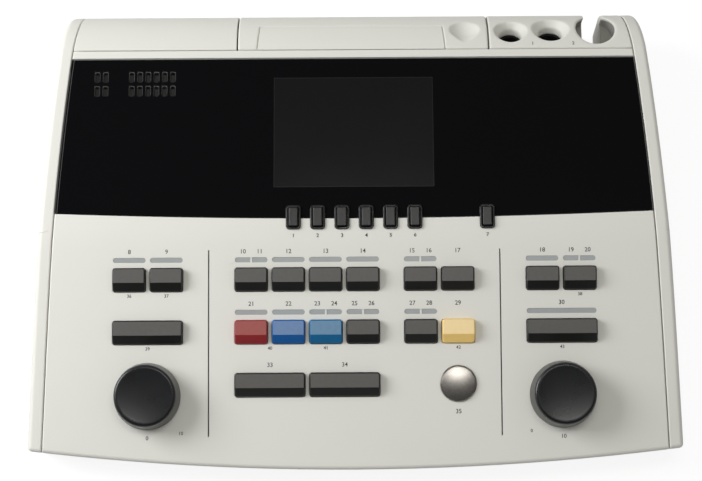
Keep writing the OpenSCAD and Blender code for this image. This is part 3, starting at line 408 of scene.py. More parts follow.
def lens_finish():
    """Gloss black plate, with the picture window's rim, painted highlight lines along its left, right and
    rear edges, and brighter painted highlights on the walls of its sound slots.
    """
    window_rim = 0.5 * MM
    left_band, right_band, rear_band = (1.15, 1.5), 0.55, 0.9
    cut_depth = -0.35
    brighter = 1.9
    made = Finish("lens_black", tuple(colours().lens), 0.05, specular=0.30)
    x, y, z = made.axes()
    inside = within_window(x, y, 0.0)
    inner = within_window(x, y, window_rim)
    smear = made.noise(18.0, 4.0, 0.6)
    shade = made.mix(inside, made.base, tuple(c * brighter for c in colours().window))
    shade = made.mix(inner, shade, tuple(colours().window))
    # Painted highlights: light lines along the lens's left, right and rear edges
    margin = half_width(y) - LENS_INSET - abs(x) * 1000.0
    left_highlight = (x < 0.0) * (margin > left_band[0]) * (margin < left_band[1]) * 0.4
    right_highlight = (x > 0.0) * (margin < right_band) * 0.6
    rear_highlight = y > (LENS_REAR - rear_band) * MM
    lines = (left_highlight + right_highlight + rear_highlight).math("MINIMUM", 1.0)
    # Painted highlight: the walls of the sound slots through the lens take a brighter colour
    cuts = near_slots(x, y) * (height_above(y, z, DECK_TILT) < cut_depth * MM)
    edge = made.mix(cuts, tuple(colours().lens_edge_highlight), tuple(c * brighter for c in colours().lens_edge_highlight))
    made.set("Base Color", made.mix((lines + cuts).math("MINIMUM", 1.0), shade, edge))
    made.set("Roughness", inside * 0.10 + smear * 0.04 + 0.035)
    return made.material


def within_window(x, y, margin):
    """Whether a point lies in the picture window, that far from its rim in metres."""
    half, near, far = (value * MM for value in WINDOW)
    return (abs(x) < half - margin) * (y > near + margin) * (y < far - margin)


def steel_finish():
    """Bead-blasted steel of the tone switch."""
    made = Finish("steel_beaded", tuple(colours().steel), 0.3, metallic=1.0)
    made.vary(900.0, 0.22, 0.06, 0.3)
    made.grain(0.00034, 0.00004, 0.8)
    return made.material


def indicator_finish():
    made = Finish("indicator_grey", tuple(colours().indicator), 0.3)
    made.vary(260.0, 0.05, 0.04, 0.3)
    return made.material


def zinc_finish():
    """Zinc-plated steel of screws, shafts and frames."""
    made = Finish("steel_zinc", (0.55, 0.56, 0.57), 0.35, metallic=1.0)
    made.vary(220.0, 0.06, 0.08, 0.35)
    made.grain(0.0004, 0.000015, 0.5)
    return made.material


def cup_finish():
    made = Finish("cup_black", grey(0.02), 0.45, metallic=0.6)
    made.vary(300.0, 0.1, 0.05, 0.45)
    return made.material


def board_finish():
    """Green board, with lighter tracks along and across it in some places."""
    tracks_per_metre = (400.0, 333.0)
    track_width = (0.08, 0.06)
    made = Finish("board_green", (0.012, 0.09, 0.03), 0.3, coat=0.3)
    x, y, _ = made.axes()
    tracks = [
        abs((axis * count).math("FRACT") - 0.5) < width
        for axis, count, width in zip((x, y), tracks_per_metre, track_width)
    ]
    patches = made.noise(60.0, 1.0) > 0.52
    mask = ((tracks[0] + tracks[1]) * patches).math("MINIMUM", 1.0)
    made.set("Base Color", made.mix(mask, made.base, (0.03, 0.16, 0.06)))
    return made.material


def black_plastic_finish(name, base, roughness):
    made = Finish(name, tuple(base), roughness)
    made.vary(120.0, 0.08, 0.04, roughness)
    made.grain(0.0003, 0.00002, 0.4)
    return made.material


def powder_finish():
    """Powder-coated steel of the rear panel."""
    made = Finish("panel_grey", (0.50, 0.50, 0.48), 0.5)
    made.vary(60.0, 0.02, 0.04, 0.5)
    made.grain(0.0006, 0.00004, 0.5)
    return made.material


def paper_finish():
    made = Finish("paper_white", (0.82, 0.82, 0.80), 0.7)
    made.vary(400.0, 0.02)
    return made.material


def screen_finish():
    made = Finish("screen_dark", (0.03, 0.033, 0.035), 0.2)
    made.vary(30.0, 0.05)
    return made.material


def make_finishes():
    """One material for each of the record's material slots, and one for the printed numbers."""
    tint = colours()
    return {
        "shell_light": shell_finish(),
        "key_grey": key_finish("key_grey", tint.key, tint.key_painted_sheen),
        "key_red": key_finish("key_red", tint.key_red, tint.key_red_painted_sheen),
        "key_blue": key_finish("key_blue", tint.key_blue, tint.key_blue_painted_sheen),
        "key_light_blue": key_finish("key_light_blue", tint.key_light_blue, tint.key_light_blue_painted_sheen),
        "key_cream": key_finish("key_cream", tint.key_cream, tint.key_cream_painted_sheen),
        "dial_black": dial_finish(),
        "lens_black": lens_finish(),
        "screen_dark": screen_finish(),
        "bezel_black": black_plastic_finish("bezel_black", grey(0.008), 0.16),
        "indicator_grey": indicator_finish(),
        "steel_beaded": steel_finish(),
        "steel_zinc": zinc_finish(),
        "cup_black": cup_finish(),
        "board_green": board_finish(),
        "switch_black": black_plastic_finish("switch_black", grey(0.02), 0.4),
        "panel_grey": powder_finish(),
        "rubber_black": black_plastic_finish("rubber_black", grey(0.022), 0.65),
        "paper_white": paper_finish(),
        "print_ink": black_plastic_finish("print_ink", tint.print_ink, 0.5),
    }


FINISHES = {}


def finish(name):
    """The material of a slot; all are made at the first call."""
    if not FINISHES:
        FINISHES.update(make_finishes())
    return FINISHES[name]


# ---------- mesh helpers ----------

UP = Vector((0, 0, 1))
FRONT = Vector((0, -1, 0))
# Bends in degrees: the least that is rounded at all, of a facet, of a corner, and of a shading break
LEAST_BEND = 12.0
FACET = 25.0
CORNER = 40.0
SHARP = 35.0
# Distance in metres within which points are one
DOUBLE = 1e-6


def object_from(bm, name):
    mesh = bpy.data.meshes.new(name)
    bm.to_mesh(mesh)
    bm.free()
    made = bpy.data.objects.new(name, mesh)
    bpy.context.scene.collection.objects.link(made)
    return made


def stand_for(made, node):
    """The piece takes the node's place, body and finish."""
    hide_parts(node)
    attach(made, BODY_OF[node])
    made.data.materials.clear()
    made.data.materials.append(finish(SLOT_OF[node]))


def cad_bmesh(node):
    """The node's mesh with its doubles merged and its flat triangles joined into faces."""
    flat_angle = 0.0014
    bm = bmesh.new()
    bm.from_mesh(frame["nodes"][node].data)
    bmesh.ops.remove_doubles(bm, verts=bm.verts, dist=DOUBLE)
    bmesh.ops.dissolve_limit(bm, angle_limit=flat_angle, verts=bm.verts, edges=bm.edges)
    return bm


class Edge:
    """What a rounding rule needs to know of an edge, in millimetres and degrees, and its two faces."""

    def __init__(self, edge):
        self.mid = (edge.verts[0].co + edge.verts[1].co) / 2 / MM
        self.normals = [face.normal for face in edge.link_faces]
        self.bend = math.degrees(edge.calc_face_angle_signed(0.0))
        self.length = edge.calc_length() / MM

    def facing(self, direction, limit=0.9):
        return any(normal.dot(direction) > limit for normal in self.normals)

    def in_frame(self, inverse):
        return (inverse @ (self.mid * MM)) / MM


def divide(bm, cuts):
    """Cuts the mesh along planes, so that no face spans both a bevelled outline and the openings."""
    for place, normal in cuts:
        geometry = bm.verts[:] + bm.edges[:] + bm.faces[:]
        bmesh.ops.bisect_plane(
            bm, geom=geometry, dist=DOUBLE, plane_co=Vector(place) * MM, plane_no=normal
        )


def join_side_strips(bm, rear_of):
    """Joins the strips of a bowed side behind a depth in millimetres, beside the ledge's curve."""
    sideways = 0.97
    lines = [
        edge for edge in bm.edges
        if len(edge.link_faces) == 2
        and all(abs(face.normal.x) > sideways for face in edge.link_faces)
        and (edge.verts[0].co.y + edge.verts[1].co.y) / 2 > rear_of * MM
    ]
    bmesh.ops.dissolve_edges(bm, edges=lines, use_verts=True, use_face_split=False)


def rounded(node, rule, segments=3, cuts=(), joined=None):
    """Replaces a node by its own shape with edges rounded by the rule, which gives millimetres."""
    bm = cad_bmesh(node)
    divide(bm, cuts)
    if joined is not None:
        join_side_strips(bm, joined)
    radii = {}
    for edge in bm.edges:
        if len(edge.link_faces) != 2:
            continue
        facts = Edge(edge)
        if facts.bend > LEAST_BEND:
            radius = rule(facts)
            if radius > 0.0:
                radii[edge.index] = radius
        if facts.bend < -SHARP or (facts.bend > SHARP and edge.index not in radii):
            edge.smooth = False
    largest = max(radii.values(), default=0.0)
    if largest:
        weight = bm.edges.layers.float.new("bevel_weight_edge")
        bm.edges.ensure_lookup_table()
        for index, radius in radii.items():
            bm.edges[index][weight] = radius / largest
    for face in bm.faces:
        face.smooth = True
    made = object_from(bm, node + "_form")
    if largest:
        bevel = made.modifiers.new("rounded_edges", "BEVEL")
        bevel.width = largest * MM
        bevel.segments = segments
        bevel.limit_method = "WEIGHT"
        bevel.profile = 0.5
        bevel.use_clamp_overlap = False
    normals = made.modifiers.new("even_shading", "WEIGHTED_NORMAL")
    normals.keep_sharp = True
    stand_for(made, node)
    return made


def smooth(bm, verts, rounds):
    for _ in range(rounds):
        bmesh.ops.smooth_vert(
            bm, verts=verts, factor=0.5, use_axis_x=True, use_axis_y=True, use_axis_z=True
        )


def softened(node, cell):
    """Replaces a ledge node by a finely remeshed copy whose edges are all softly rounded."""
    edge_rounds, lip_rounds = 4, 14
    bm = bmesh.new()
    bm.from_mesh(frame["nodes"][node].data)
    bmesh.ops.remove_doubles(bm, verts=bm.verts, dist=DOUBLE)
    rough = object_from(bm, node + "_rough")
    remesh = rough.modifiers.new("cells", "REMESH")
    remesh.mode = "VOXEL"
    remesh.voxel_size = cell
    evaluated = rough.evaluated_get(bpy.context.evaluated_depsgraph_get())
    bm = bmesh.new()
    bm.from_mesh(evaluated.to_mesh())
    bpy.data.objects.remove(rough)
    smooth(bm, bm.verts, edge_rounds)
    lip = [vert for vert in bm.verts if on_holder_lip(vert.co)]
    if lip:
        smooth(bm, lip, lip_rounds)
    bm.normal_update()
    settle_on_ledge(bm)
    for face in bm.faces:
        face.smooth = True
    made = object_from(bm, node + "_form")
    stand_for(made, node)
    return made


def on_holder_lip(point):
    """Whether a point lies on the thick rim around the probe holder's mouth."""
    past_mouth, half_band, depth = 0.2, 1.8, 3.0
    away = math.hypot(point.x - HOLDER_X * MM, point.y - HOLDER_Y * MM)
    skin = math.hypot(point.y - LEDGE_CENTRE[0] * MM, point.z - LEDGE_CENTRE[1] * MM)
    on_rim = abs(away - (HOLDER_RADIUS + past_mouth) * MM) < half_band * MM
    return on_rim and skin > (LEDGE_RADIUS - depth) * MM


def settle_on_ledge(bm):
    """Moves the points that lie on the ledge's curve, away from its edges, exactly onto it."""
    reach = 0.25 * MM
    outward = 0.995
    for vert in bm.verts:
        dy = vert.co.y - LEDGE_CENTRE[0] * MM
        dz = vert.co.z - LEDGE_CENTRE[1] * MM
        radius = math.hypot(dy, dz)
        if abs(radius - LEDGE_RADIUS * MM) > reach or not radius:
            continue
        if (vert.normal.y * dy + vert.normal.z * dz) / radius > outward:
            scale = LEDGE_RADIUS * MM / radius
            vert.co.y = LEDGE_CENTRE[0] * MM + dy * scale
            vert.co.z = LEDGE_CENTRE[1] * MM + dz * scale


def repaint(node):
    """Leaves the CAD node as it is and gives it its finish."""
    materials = frame["nodes"][node].data.materials
    materials.clear()
    materials.append(finish(SLOT_OF[node]))


# ---------- rounding rules ----------

# How nearly upright the normal of a sloping top is
TOP = 0.96
# Heights of the parting line between the cases, and of the lower case's floor
PARTING = 14.5
FLOOR = 3.1
# Depths: the front curve, the front end of the seams, the front wall, and the rear edge
FRONT_CURVE_Y = -122
SEAM_END_Y = -118
FRONT_WALL_Y = -110
REAR_EDGE_Y = 105
# Place across beyond which the case's side edges lie beside a seam
SEAM_X = 160
# Front end of the lens along the deck
LENS_FRONT_V = 12


def case_rule(edge):
    """Upper case: the front edge, the seams and the openings around the keys."""
    on_top = edge.facing(UP, TOP)
    outer_side = abs(edge.mid.x) > SEAM_X and any(abs(normal.x) > 0.9 for normal in edge.normals)
    if edge.bend < CORNER:
        return 0.0
    if on_top and edge.mid.y < FRONT_CURVE_Y and edge.facing(FRONT):
        return edges().front / MM
    if outer_side and (on_top or (edge.mid.y < SEAM_END_Y and edge.facing(FRONT))):
        return edges().seam / MM
    if on_top and edge.mid.y > REAR_EDGE_Y:
        return 0.45
    if edge.mid.z < PARTING and edge.mid.y < FRONT_WALL_Y and edge.facing(FRONT):
        return 0.5
    if on_top and edge.in_frame(TO_KEYS).z > -0.2 and edge.in_frame(TO_DECK).y < LENS_FRONT_V:
        return edges().hole / MM
    return 0.0


def cheek_rule(edge):
    """Cheek: its outer edge, the front edge and the edge beside the seam."""
    inside = Vector((edge.mid.x, -20, 25))
    outward = edge.mid - inside
    skin = [n for n in edge.normals if abs(n.x) < 0.3 and n.dot(outward) > 0]
    side = 1 if edge.mid.x > 0 else -1
    outer = any(n.x * side > 0.9 for n in edge.normals)
    inner = any(n.x * side < -0.9 for n in edge.normals)
    if edge.bend < CORNER:
        return 0.0
    if edge.mid.z < PARTING:
        return 0.4
    if outer and skin:
        return (edges().front if edge.facing(FRONT) else edges().cheek) / MM
    if inner and skin:
        return edges().seam / MM
    if len(skin) == 2:
        return edges().front / MM
    return 0.0


def base_rule(edge):
    """Lower case: its lower outline, its rim and its small holes."""
    outline_x, outline_y = 165, 118
    shortest_outline = 4
    rim_height = 13.9
    if edge.bend < CORNER:
        return 0.0
    outline = abs(edge.mid.x) > outline_x or abs(edge.mid.y) > outline_y
    if edge.mid.z < FLOOR:
        return 1.2 if outline and edge.length > shortest_outline else 0.3
    return 0.3 if edge.mid.z > rim_height and outline else 0.0


def lens_rule(edge):
    """Lens: its outline, the sound slots and the openings for the bezels."""
    slots_x, slots_v = (-160, -100), (80, 105)
    bezels_x, bezels_end = 90, 20
    if edge.bend < CORNER or not edge.facing(UP, TOP):
        return 0.0
    place = edge.in_frame(TO_DECK)
    if slots_x[0] < place.x < slots_x[1] and slots_v[0] < place.y < slots_v[1]:
        return 0.3
    if abs(place.x) < bezels_x and LENS_FRONT_V < place.y < bezels_end:
        return 0.1
    return 0.35


def key_rule(edge):
    """Keycap: all the edges of the cap, with a crisp ridge above the facet."""
    skirt_height = 0.8
    ridge_bend, ridge_length = 50, 10
    widest = 0.8
    if edge.in_frame(TO_KEYS).z < skirt_height or edge.bend < FACET:
        return 0.0
    beside_top = edge.facing(KEY_FRAME.to_3x3() @ UP, 0.99)
    if edge.bend < ridge_bend and edge.length > ridge_length and beside_top:
        return 0.3
    return min(edges().key / MM, widest)


def above_rule(inverse, height, radius, bend):
    """Rounds what is higher than that above the keypad or the deck, and bends more than that."""
    return lambda edge: radius if edge.in_frame(inverse).z > height and edge.bend > bend else 0.0


def plain_rule(radius):
    """Rounds every corner alike."""
    return lambda edge: radius if edge.bend > CORNER else 0.0


# ---------- dials ----------


def arc(centre, radius, start, end, steps):
    """Points on an arc in a profile: distance from the axis and height, in millimetres."""
    angles = [math.radians(start + (end - start) * i / steps) for i in range(steps + 1)]
    return [(centre[0] + radius * math.cos(a), centre[1] + radius * math.sin(a)) for a in angles]


def dial_profile(outer=19.4, taper=1.5, rim=1.9, dish=0.7, bore=8.4):
    """A dial's section: a slightly conical side, a round rim and a shallow dish."""
    lift, foot, bore_depth = 0.5, 0.4, 5.0
    shoulder = outer - taper - rim
    edge = shoulder - 1.0
    step_down = DIAL_TOP - 0.12
    rings = 10
    points = [(bore, bore_depth), (bore, lift), (outer - foot, lift)]
    points += arc((outer - foot, lift + foot), foot, -60, 0, 3) + [(outer, 1.7)]
    points += arc((shoulder, DIAL_TOP - rim), rim, 7, 90, 9)
    for i in range(rings + 1):
        inward = i / rings
        points.append((edge * (1.0 - inward), step_down - dish * (1.0 - (1.0 - inward) ** 2)))
    return points


def turned(node, profile, place):
    """Replaces a node by a profile turned about the upright axis of a place."""
    bm = bmesh.new()
    verts = [bm.verts.new((radius * MM, 0.0, height * MM)) for radius, height in profile]
    lines = [bm.edges.new(pair) for pair in zip(verts, verts[1:])]
    bmesh.ops.spin(
        bm, geom=verts + lines, axis=(0, 0, 1), cent=(0, 0, 0), angle=2 * math.pi, steps=128, use_merge=True
    )
    bmesh.ops.remove_doubles(bm, verts=bm.verts, dist=DOUBLE)
    bmesh.ops.recalc_face_normals(bm, faces=bm.faces)
    bm.transform(place)
    for face in bm.faces:
        face.smooth = True
    for edge in bm.edges:
        edge.smooth = not edge.is_manifold or edge.calc_face_angle(0.0) < math.radians(SHARP)
    made = object_from(bm, node + "_form")
    stand_for(made, node)
    return made


# ---------- operators ----------


def upright_cuts(*places):
    """Upright planes from front to rear, at places across the console in millimetres."""
    return tuple(((x, 0.0, 0.0), (1.0, 0.0, 0.0)) for x in places)


def slope_cuts(frame_of, *places):
    """Planes across a slope at places along it: each a place in millimetres and a direction."""
    along = tuple(frame_of.to_3x3() @ Vector((0, 1, 0)))
    return tuple((tuple(frame_of @ (Vector((0, v, 0)) * MM) / MM), along) for v in places)


# Planes that pass between the seams, the front edge, the keys and the slots
ABOVE_KEYS = 8.4
BEHIND_FRONT_EDGE = ((0.0, -124.5, 0.0), (0.0, 1.0, 0.0))
CASE_CUTS = (
    *upright_cuts(-160.0, -93.0, -77.0, 22.0, 77.0, 93.0, 160.0),
    BEHIND_FRONT_EDGE,
    *slope_cuts(KEY_FRAME, -38.5, -72.0, ROWS[0] + ABOVE_KEYS, ROWS[1] + ABOVE_KEYS),
)
LENS_CUTS = (*upright_cuts(-100.0), *slope_cuts(DECK_FRAME, 82.0, 20.0))
# Depth behind which the cheeks' side strips are joined
CHEEK_JOINED = 96.0


class CONSOLE_OT_case(bpy.types.Operator):
    """Upper case, lower case and the two cheeks"""

    bl_idname = "console.case"
    bl_label = "Case"

    def execute(self, context):
        rounded("upper_case", case_rule, cuts=CASE_CUTS)
        rounded("left_cheek", cheek_rule, segments=4, joined=CHEEK_JOINED)
        rounded("right_cheek", cheek_rule, segments=4, joined=CHEEK_JOINED)
        rounded("lower_case", base_rule)
        return {"FINISHED"}


class CONSOLE_OT_ledge(bpy.types.Operator):
    """Rear ledge: cover, printer lid with its flap, cavity module and cups"""

    bl_idname = "console.ledge"
    bl_label = "Rear ledge"

    def execute(self, context):
        cell = edges().grain
        softened("cavity_module", cell)
        softened("printer_lid", cell)
        rounded("rear_left_cover", plain_rule(0.45))
        rounded("paper_flap", plain_rule(0.3))
        rounded("cavity_cups", plain_rule(0.25))
        return {"FINISHED"}


class CONSOLE_OT_display(bpy.types.Operator):
    """Black lens, the display behind it, and the bezels on its edge"""

    bl_idname = "console.display"
    bl_label = "Display"

    def execute(self, context):
        rounded("display_lens", lens_rule, segments=2, cuts=LENS_CUTS)
        rounded("function_bezels", above_rule(TO_DECK, 1.0, 0.45, CORNER))
        repaint("lcd_module")
        return {"FINISHED"}


class CONSOLE_OT_keys(bpy.types.Operator):
    """Keycaps of the keypad and the function keys"""

    bl_idname = "console.keys"
    bl_label = "Keys"

    def execute(self, context):
        soft_top = above_rule(TO_DECK, 1.0, 0.55, CORNER)
        for node in sorted(frame["nodes"]):
            if "key" in node and BODY_OF[node] == node + "_body":
                rounded(node, soft_top if node.startswith("function") else key_rule)
        return {"FINISHED"}


class CONSOLE_OT_dials(bpy.types.Operator):
    """Dials, with the shafts and encoders under them"""

    bl_idname = "console.dials"
    bl_label = "Dials"

    def execute(self, context):
        for side, x in (("left", -GROUP_X), ("right", GROUP_X)):
            place = KEY_FRAME @ Matrix.Translation(Vector((x, DIAL_V, 0.0)) * MM)
            turned(side + "_dial", dial_profile(), place)
            repaint(side + "_dial_shaft")
        repaint("dial_encoders")
        return {"FINISHED"}


class CONSOLE_OT_tone_switch(bpy.types.Operator):
    """Round metal tone switch and its ring"""

    bl_idname = "console.tone_switch"
    bl_label = "Tone switch"

    def execute(self, context):
        rim = above_rule(TO_KEYS, 0.4, 0.2, FACET)
        rounded("tone_switch_cap", rim)
        rounded("tone_switch_ring", rim, segments=2)
        return {"FINISHED"}


class CONSOLE_OT_indicators(bpy.types.Operator):
    """Indicator windows above the keys"""

    bl_idname = "console.indicators"
    bl_label = "Indicator windows"

    def execute(self, context):
        repaint("indicator_windows")
        return {"FINISHED"}


# Printed numbers: how far they stand from the middle of a key, half the step of two numbers over one
# key, and the height of the digits, in millimetres
ABOVE = 16.5
ABOVE_LONG_KEY = 11.6
BELOW = -9.4
HALF_STEP = 4.9
DIGITS = 2.5
DIAL_DIGITS = 2.3
MEDIUM_DIGITS = 2.1
SMALL_DIGITS = 1.9
FUNCTION_PITCH = 14.25
LAST_FUNCTION_X = 78.0
# Distance of the ink from the surface
INK = 0.03


def pairs(column, row):
    """The places of two numbers over one key."""
    return [(COLUMNS[column] - HALF_STEP, row), (COLUMNS[column] + HALF_STEP, row)]


def keypad_numbers():
    """The numbers on the keypad: text, place across, place along the slope, height of the digits."""
    row_1, row_2, row_3 = ROWS
    places = [(COLUMNS[0], row_1), (COLUMNS[1], row_1)] + pairs(2, row_1)
    places += [(COLUMNS[3], row_1), (COLUMNS[4], row_1), (COLUMNS[5], row_1)] + pairs(6, row_1)
    places += [(COLUMNS[7], row_1), (COLUMNS[8], row_1)] + pairs(9, row_1)
    places += [(COLUMNS[2], row_2), (COLUMNS[3], row_2)] + pairs(4, row_2) + pairs(5, row_2)
    places += pairs(6, row_2) + [(COLUMNS[7], row_2), (GROUP_X, row_2)]
    numbers = [(str(i + 8), x, row + ABOVE, DIGITS) for i, (x, row) in enumerate(places)]
    numbers += [(str(i + 33), x, row_3 + ABOVE_LONG_KEY, DIGITS) for i, x in enumerate(LONG_KEYS_X)]
    numbers += [("35", TONE_SWITCH_X, -103.6, DIGITS)]
    below = [(COLUMNS[0], row_1), (COLUMNS[1], row_1), (COLUMNS[9], row_1), (-GROUP_X, row_2)]
    below += [(LONG_KEYS_X[0], row_2), (COLUMNS[4], row_2), (COLUMNS[7], row_2), (GROUP_X, row_2)]
    numbers += [(str(i + 36), x, row + BELOW, SMALL_DIGITS) for i, (x, row) in enumerate(below)]
    numbers += [("0", -GROUP_X, -118.2, DIAL_DIGITS), ("10", -101.0, -115.5, SMALL_DIGITS)]
    numbers += [("10", GROUP_X, -118.2, DIAL_DIGITS), ("0", 102.0, -115.0, SMALL_DIGITS)]
    return numbers


def function_numbers():
    """The numbers below the function keys, in the same form."""
    columns = [(index - 2.5) * FUNCTION_PITCH for index in range(6)] + [LAST_FUNCTION_X]
    return [(str(i + 1), x, -0.7, MEDIUM_DIGITS) for i, x in enumerate(columns)]


def on_ledge(x, run):
    """A frame on the ledge's curve, at a place across and a run along the curve from its top."""
    slope = math.radians(5) + run / LEDGE_RADIUS
    centre = Vector((x, *LEDGE_CENTRE)) * MM
    out = Matrix.Translation((0, 0, (LEDGE_RADIUS + 0.04) * MM))
    return Matrix.Translation(centre) @ Matrix.Rotation(-slope, 4, "X") @ out


class CONSOLE_OT_numbers(bpy.types.Operator):
    """Plain printed numbers beside the keys, dials and cavities"""

    bl_idname = "console.numbers"
    bl_label = "Numbers"

    def execute(self, context):
        bm = bmesh.new()
        for text, x, v, height in keypad_numbers():
            add_number(bm, text, height, KEY_FRAME @ Matrix.Translation(Vector((x, v, INK)) * MM))
        for text, x, v, height in function_numbers():
            add_number(bm, text, height, KEY_FRAME @ Matrix.Translation(Vector((x, v, -0.02)) * MM))
        for text, x in (("1", 107.7), ("2", 132.0)):
            add_number(bm, text, MEDIUM_DIGITS, on_ledge(x, 3.5))
        in_groove = KEY_FRAME @ Matrix.Translation((0, 0, -0.3 * MM))
        for side in (-1, 1):
            add_bar(bm, side * DIVIDER_X, *DIVIDER_ENDS, 0.6, in_groove)
        made = object_from(bm, "printed_numbers")
        made.data.materials.append(finish("print_ink"))
        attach(made, "console")
        return {"FINISHED"}


def add_bar(bm, x, v0, v1, width, place):
    """Adds a dark line along the slope, as one flat face."""
    corners = ((-0.5, v0), (0.5, v0), (0.5, v1), (-0.5, v1))
    bm.faces.new([bm.verts.new(place @ (Vector((x + a * width, v, 0.0)) * MM)) for a, v in corners])


def add_number(bm, text, height, place):
    """Adds one number, centred on its place, as flat faces."""
    digit_share = 0.7
    thickening = 0.035
    curve = bpy.data.curves.new("number", "FONT")
    curve.body = text
    curve.size = height * MM / digit_share
    curve.align_x = "CENTER"
    curve.align_y = "CENTER"
    curve.resolution_u = 3
    curve.offset = thickening * MM
    holder = bpy.data.objects.new("number", curve)
    bpy.context.scene.collection.objects.link(holder)
    evaluated = holder.evaluated_get(bpy.context.evaluated_depsgraph_get())
    mesh = bpy.data.meshes.new_from_object(evaluated)
    mesh.transform(place)
    bm.from_mesh(mesh)
    bpy.data.objects.remove(holder)


class CONSOLE_OT_connectors(bpy.types.Operator):
    """Rear connector panel, sockets, mains switch, feet and screws"""

    bl_idname = "console.connectors"
    bl_label = "Connectors and feet"

    def execute(self, context):
        for node in ("rear_panel", "rear_sockets", "power_rocker"):
            rounded(node, plain_rule(0.3))
        rounded("rubber_feet", plain_rule(0.4))
        rounded("case_screws", plain_rule(0.2))
        return {"FINISHED"}


class CONSOLE_OT_inside(bpy.types.Operator):
    """Boards, switches, printer works, speaker and pump inside the case"""

    bl_idname = "console.inside"
    bl_label = "Inside"

    def execute(self, context):
        for node in ("keypad_boards", "key_switches", "main_board", "speaker", "air_pump"):
            repaint(node)
        rounded("printer_frame", plain_rule(0.3))
        rounded("platen_roller", plain_rule(0.3))
        rounded("paper_roll", plain_rule(0.2))
        return {"FINISHED"}


# ---------- studio ----------


class ConsoleStudio(bpy.types.PropertyGroup):
    """Lamps and background."""

    side_power: bpy.props.FloatProperty(
        name="Side lamp", description="Power of the lamp at the left", unit="POWER", min=0.0, default=9.2
    )
    top_power: bpy.props.FloatProperty(
        name="Top lamp", description="Power of the lamp overhead", unit="POWER", min=0.0, default=6.6
    )
    sky: bpy.props.FloatProperty(
        name="Room light", description="Strength of the room's even light", min=0.0, default=0.34
    )


# Each lamp's place, target, width and depth in metres, and its tint
SIDE_LAMP = ((-0.85, 0.17, 0.65), (0.0, -0.02, 0.0), (0.6, 0.6), (0.95, 0.965, 1.0))
TOP_LAMP = ((0.12, 0.07, 1.95), (0.12, -0.02, 0.0), (0.8, 0.32), (1.0, 0.985, 0.95))
# The camera that was fitted to the photo: place in metres, lens in millimetres, angles in degrees
CAMERA_PLACE = (-0.0019, -0.3375, 1.1279)
CAMERA_LENS = 98.24
CAMERA_HEIGHT_ANGLE = 73
CAMERA_ROLL = -0.34


def area_lamp(name, power, place, target, size, tint):
    data = bpy.data.lights.new(name, "AREA")
    data.shape = "RECTANGLE"
    data.size, data.size_y = size
    data.energy = power
    data.color = tint
    lamp = bpy.data.objects.new(name, data)
    lamp.location = place
    lamp.rotation_euler = (Vector(target) - Vector(place)).to_track_quat("-Z", "Y").to_euler()
    bpy.context.scene.collection.objects.link(lamp)


def make_camera():
    data = bpy.data.cameras.new("camera")
    data.sensor_fit = "HORIZONTAL"
    data.sensor_width = 36.0
    data.lens = CAMERA_LENS
    data.clip_start = 0.05
    data.clip_end = 30.0
    camera = bpy.data.objects.new("camera", data)
    bpy.context.scene.collection.objects.link(camera)
    camera.matrix_world = (
        Matrix.Translation(CAMERA_PLACE)
        @ Matrix.Rotation(math.radians(90 - CAMERA_HEIGHT_ANGLE), 4, "X")
        @ Matrix.Rotation(math.radians(CAMERA_ROLL), 4, "Z")
    )
    bpy.context.scene.camera = camera


def make_world(strength):
    """White to the camera, an even grey to diffuse surfaces, and to glossy ones white towards the
    rear and the sides with a darker ceiling and front, as a studio has."""
    ceiling_fall, rear_slope, darkest = 1.25, 0.55, 0.05
    world = bpy.data.worlds.new("studio")
    bpy.context.scene.world = world
    world.use_nodes = True
    tree = world.node_tree
    tree.nodes.clear()
    output = tree.nodes.new("ShaderNodeOutputWorld")
    path = tree.nodes.new("ShaderNodeLightPath")
    direction = tree.nodes.new("ShaderNodeTexCoord")
    split = tree.nodes.new("ShaderNodeSeparateXYZ")
    tree.links.new(direction.outputs["Generated"], split.inputs[0])
    _, y, z = [Value(tree, out) for out in split.outputs]
    ceiling = (1.0 - (z * ceiling_fall)).math("MAXIMUM", 0.0, clamp=True)
    rear = (y * rear_slope + 0.5).math("MAXIMUM", 0.0, clamp=True)
    mirror = ceiling * rear * (1.0 - darkest) + darkest
    camera_ray = Value(tree, path.outputs["Is Camera Ray"])
    glossy_ray = Value(tree, path.outputs["Is Glossy Ray"])
    clear_ray = Value(tree, path.outputs["Is Transmission Ray"])
    seen = (camera_ray + clear_ray).math("MINIMUM", 1.0)
    level = seen + (1.0 - seen) * (glossy_ray * mirror + (1.0 - glossy_ray) * strength)
    background = tree.nodes.new("ShaderNodeBackground")
    background.inputs["Color"].default_value = (*grey(1.0), 1.0)
    tree.links.new(level.socket, background.inputs["Strength"])
    tree.links.new(background.outputs[0], output.inputs["Surface"])


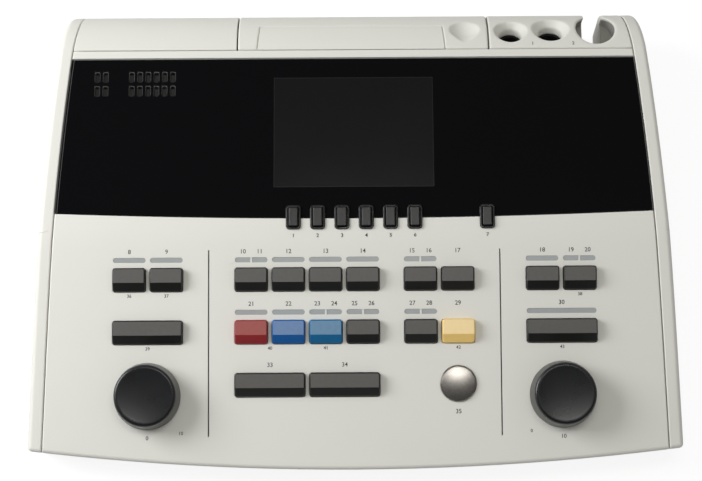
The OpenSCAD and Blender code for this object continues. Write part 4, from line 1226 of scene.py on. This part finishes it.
def make_floor():
    """A floor that throws back a plain grey, and that the camera sees as white with a soft shadow."""
    half_side = 4.0
    glow_strength = 0.86
    bm = bmesh.new()
    bmesh.ops.create_grid(bm, x_segments=1, y_segments=1, size=half_side)
    floor = object_from(bm, "floor")
    material = bpy.data.materials.new("floor_white")
    material.use_nodes = True
    tree = material.node_tree
    tree.nodes.clear()
    output = tree.nodes.new("ShaderNodeOutputMaterial")
    path = tree.nodes.new("ShaderNodeLightPath")
    plain = tree.nodes.new("ShaderNodeBsdfDiffuse")
    plain.inputs["Color"].default_value = (*grey(0.42), 1.0)
    shaded = tree.nodes.new("ShaderNodeBsdfDiffuse")
    shaded.inputs["Color"].default_value = (*grey(0.22), 1.0)
    glow = tree.nodes.new("ShaderNodeEmission")
    glow.inputs["Strength"].default_value = glow_strength
    both = tree.nodes.new("ShaderNodeAddShader")
    tree.links.new(shaded.outputs[0], both.inputs[0])
    tree.links.new(glow.outputs[0], both.inputs[1])
    choose = tree.nodes.new("ShaderNodeMixShader")
    seen = Value(tree, path.outputs["Is Camera Ray"]) + Value(tree, path.outputs["Is Glossy Ray"])
    tree.links.new(seen.math("MINIMUM", 1.0).socket, choose.inputs[0])
    tree.links.new(plain.outputs[0], choose.inputs[1])
    tree.links.new(both.outputs[0], choose.inputs[2])
    tree.links.new(choose.outputs[0], output.inputs["Surface"])
    floor.data.materials.append(material)


class CONSOLE_OT_stage(bpy.types.Operator):
    """Camera, lamps, white room and floor"""

    bl_idname = "console.stage"
    bl_label = "Studio"

    def execute(self, context):
        studio = context.scene.console_studio
        make_camera()
        make_world(studio.sky)
        make_floor()
        area_lamp("side_lamp", studio.side_power, *SIDE_LAMP)
        area_lamp("top_lamp", studio.top_power, *TOP_LAMP)
        context.scene.view_settings.view_transform = "Standard"
        return {"FINISHED"}


class CONSOLE_PT_panel(bpy.types.Panel):
    """Sidebar panel with the settings and the pieces"""

    bl_idname = "CONSOLE_PT_panel"
    bl_label = "Audiometer console"
    bl_space_type = "VIEW_3D"
    bl_region_type = "UI"
    bl_category = "Console"

    def draw(self, context):
        scene = context.scene
        for group in (scene.console_colours, scene.console_edges, scene.console_studio):
            box = self.layout.box()
            for key in group.__annotations__:
                box.prop(group, key)
        for operator in OPERATORS:
            self.layout.operator(operator.bl_idname)


OPERATORS = (
    CONSOLE_OT_case, CONSOLE_OT_ledge, CONSOLE_OT_display, CONSOLE_OT_keys, CONSOLE_OT_dials,
    CONSOLE_OT_tone_switch, CONSOLE_OT_indicators, CONSOLE_OT_numbers, CONSOLE_OT_connectors,
    CONSOLE_OT_inside, CONSOLE_OT_stage,
)
GROUPS = {
    "console_colours": ConsoleColours, "console_edges": ConsoleEdges, "console_studio": ConsoleStudio,
}


def register():
    for kind in (*GROUPS.values(), *OPERATORS, CONSOLE_PT_panel):
        bpy.utils.register_class(kind)
    for name, group in GROUPS.items():
        setattr(bpy.types.Scene, name, bpy.props.PointerProperty(type=group))


def unregister():
    for name in GROUPS:
        delattr(bpy.types.Scene, name)
    for kind in reversed((*GROUPS.values(), *OPERATORS, CONSOLE_PT_panel)):
        bpy.utils.unregister_class(kind)


def main():
    register()
    for operator in OPERATORS:
        group, name = operator.bl_idname.split(".")
        getattr(getattr(bpy.ops, group), name)()


if __name__ == "__main__":
    main()
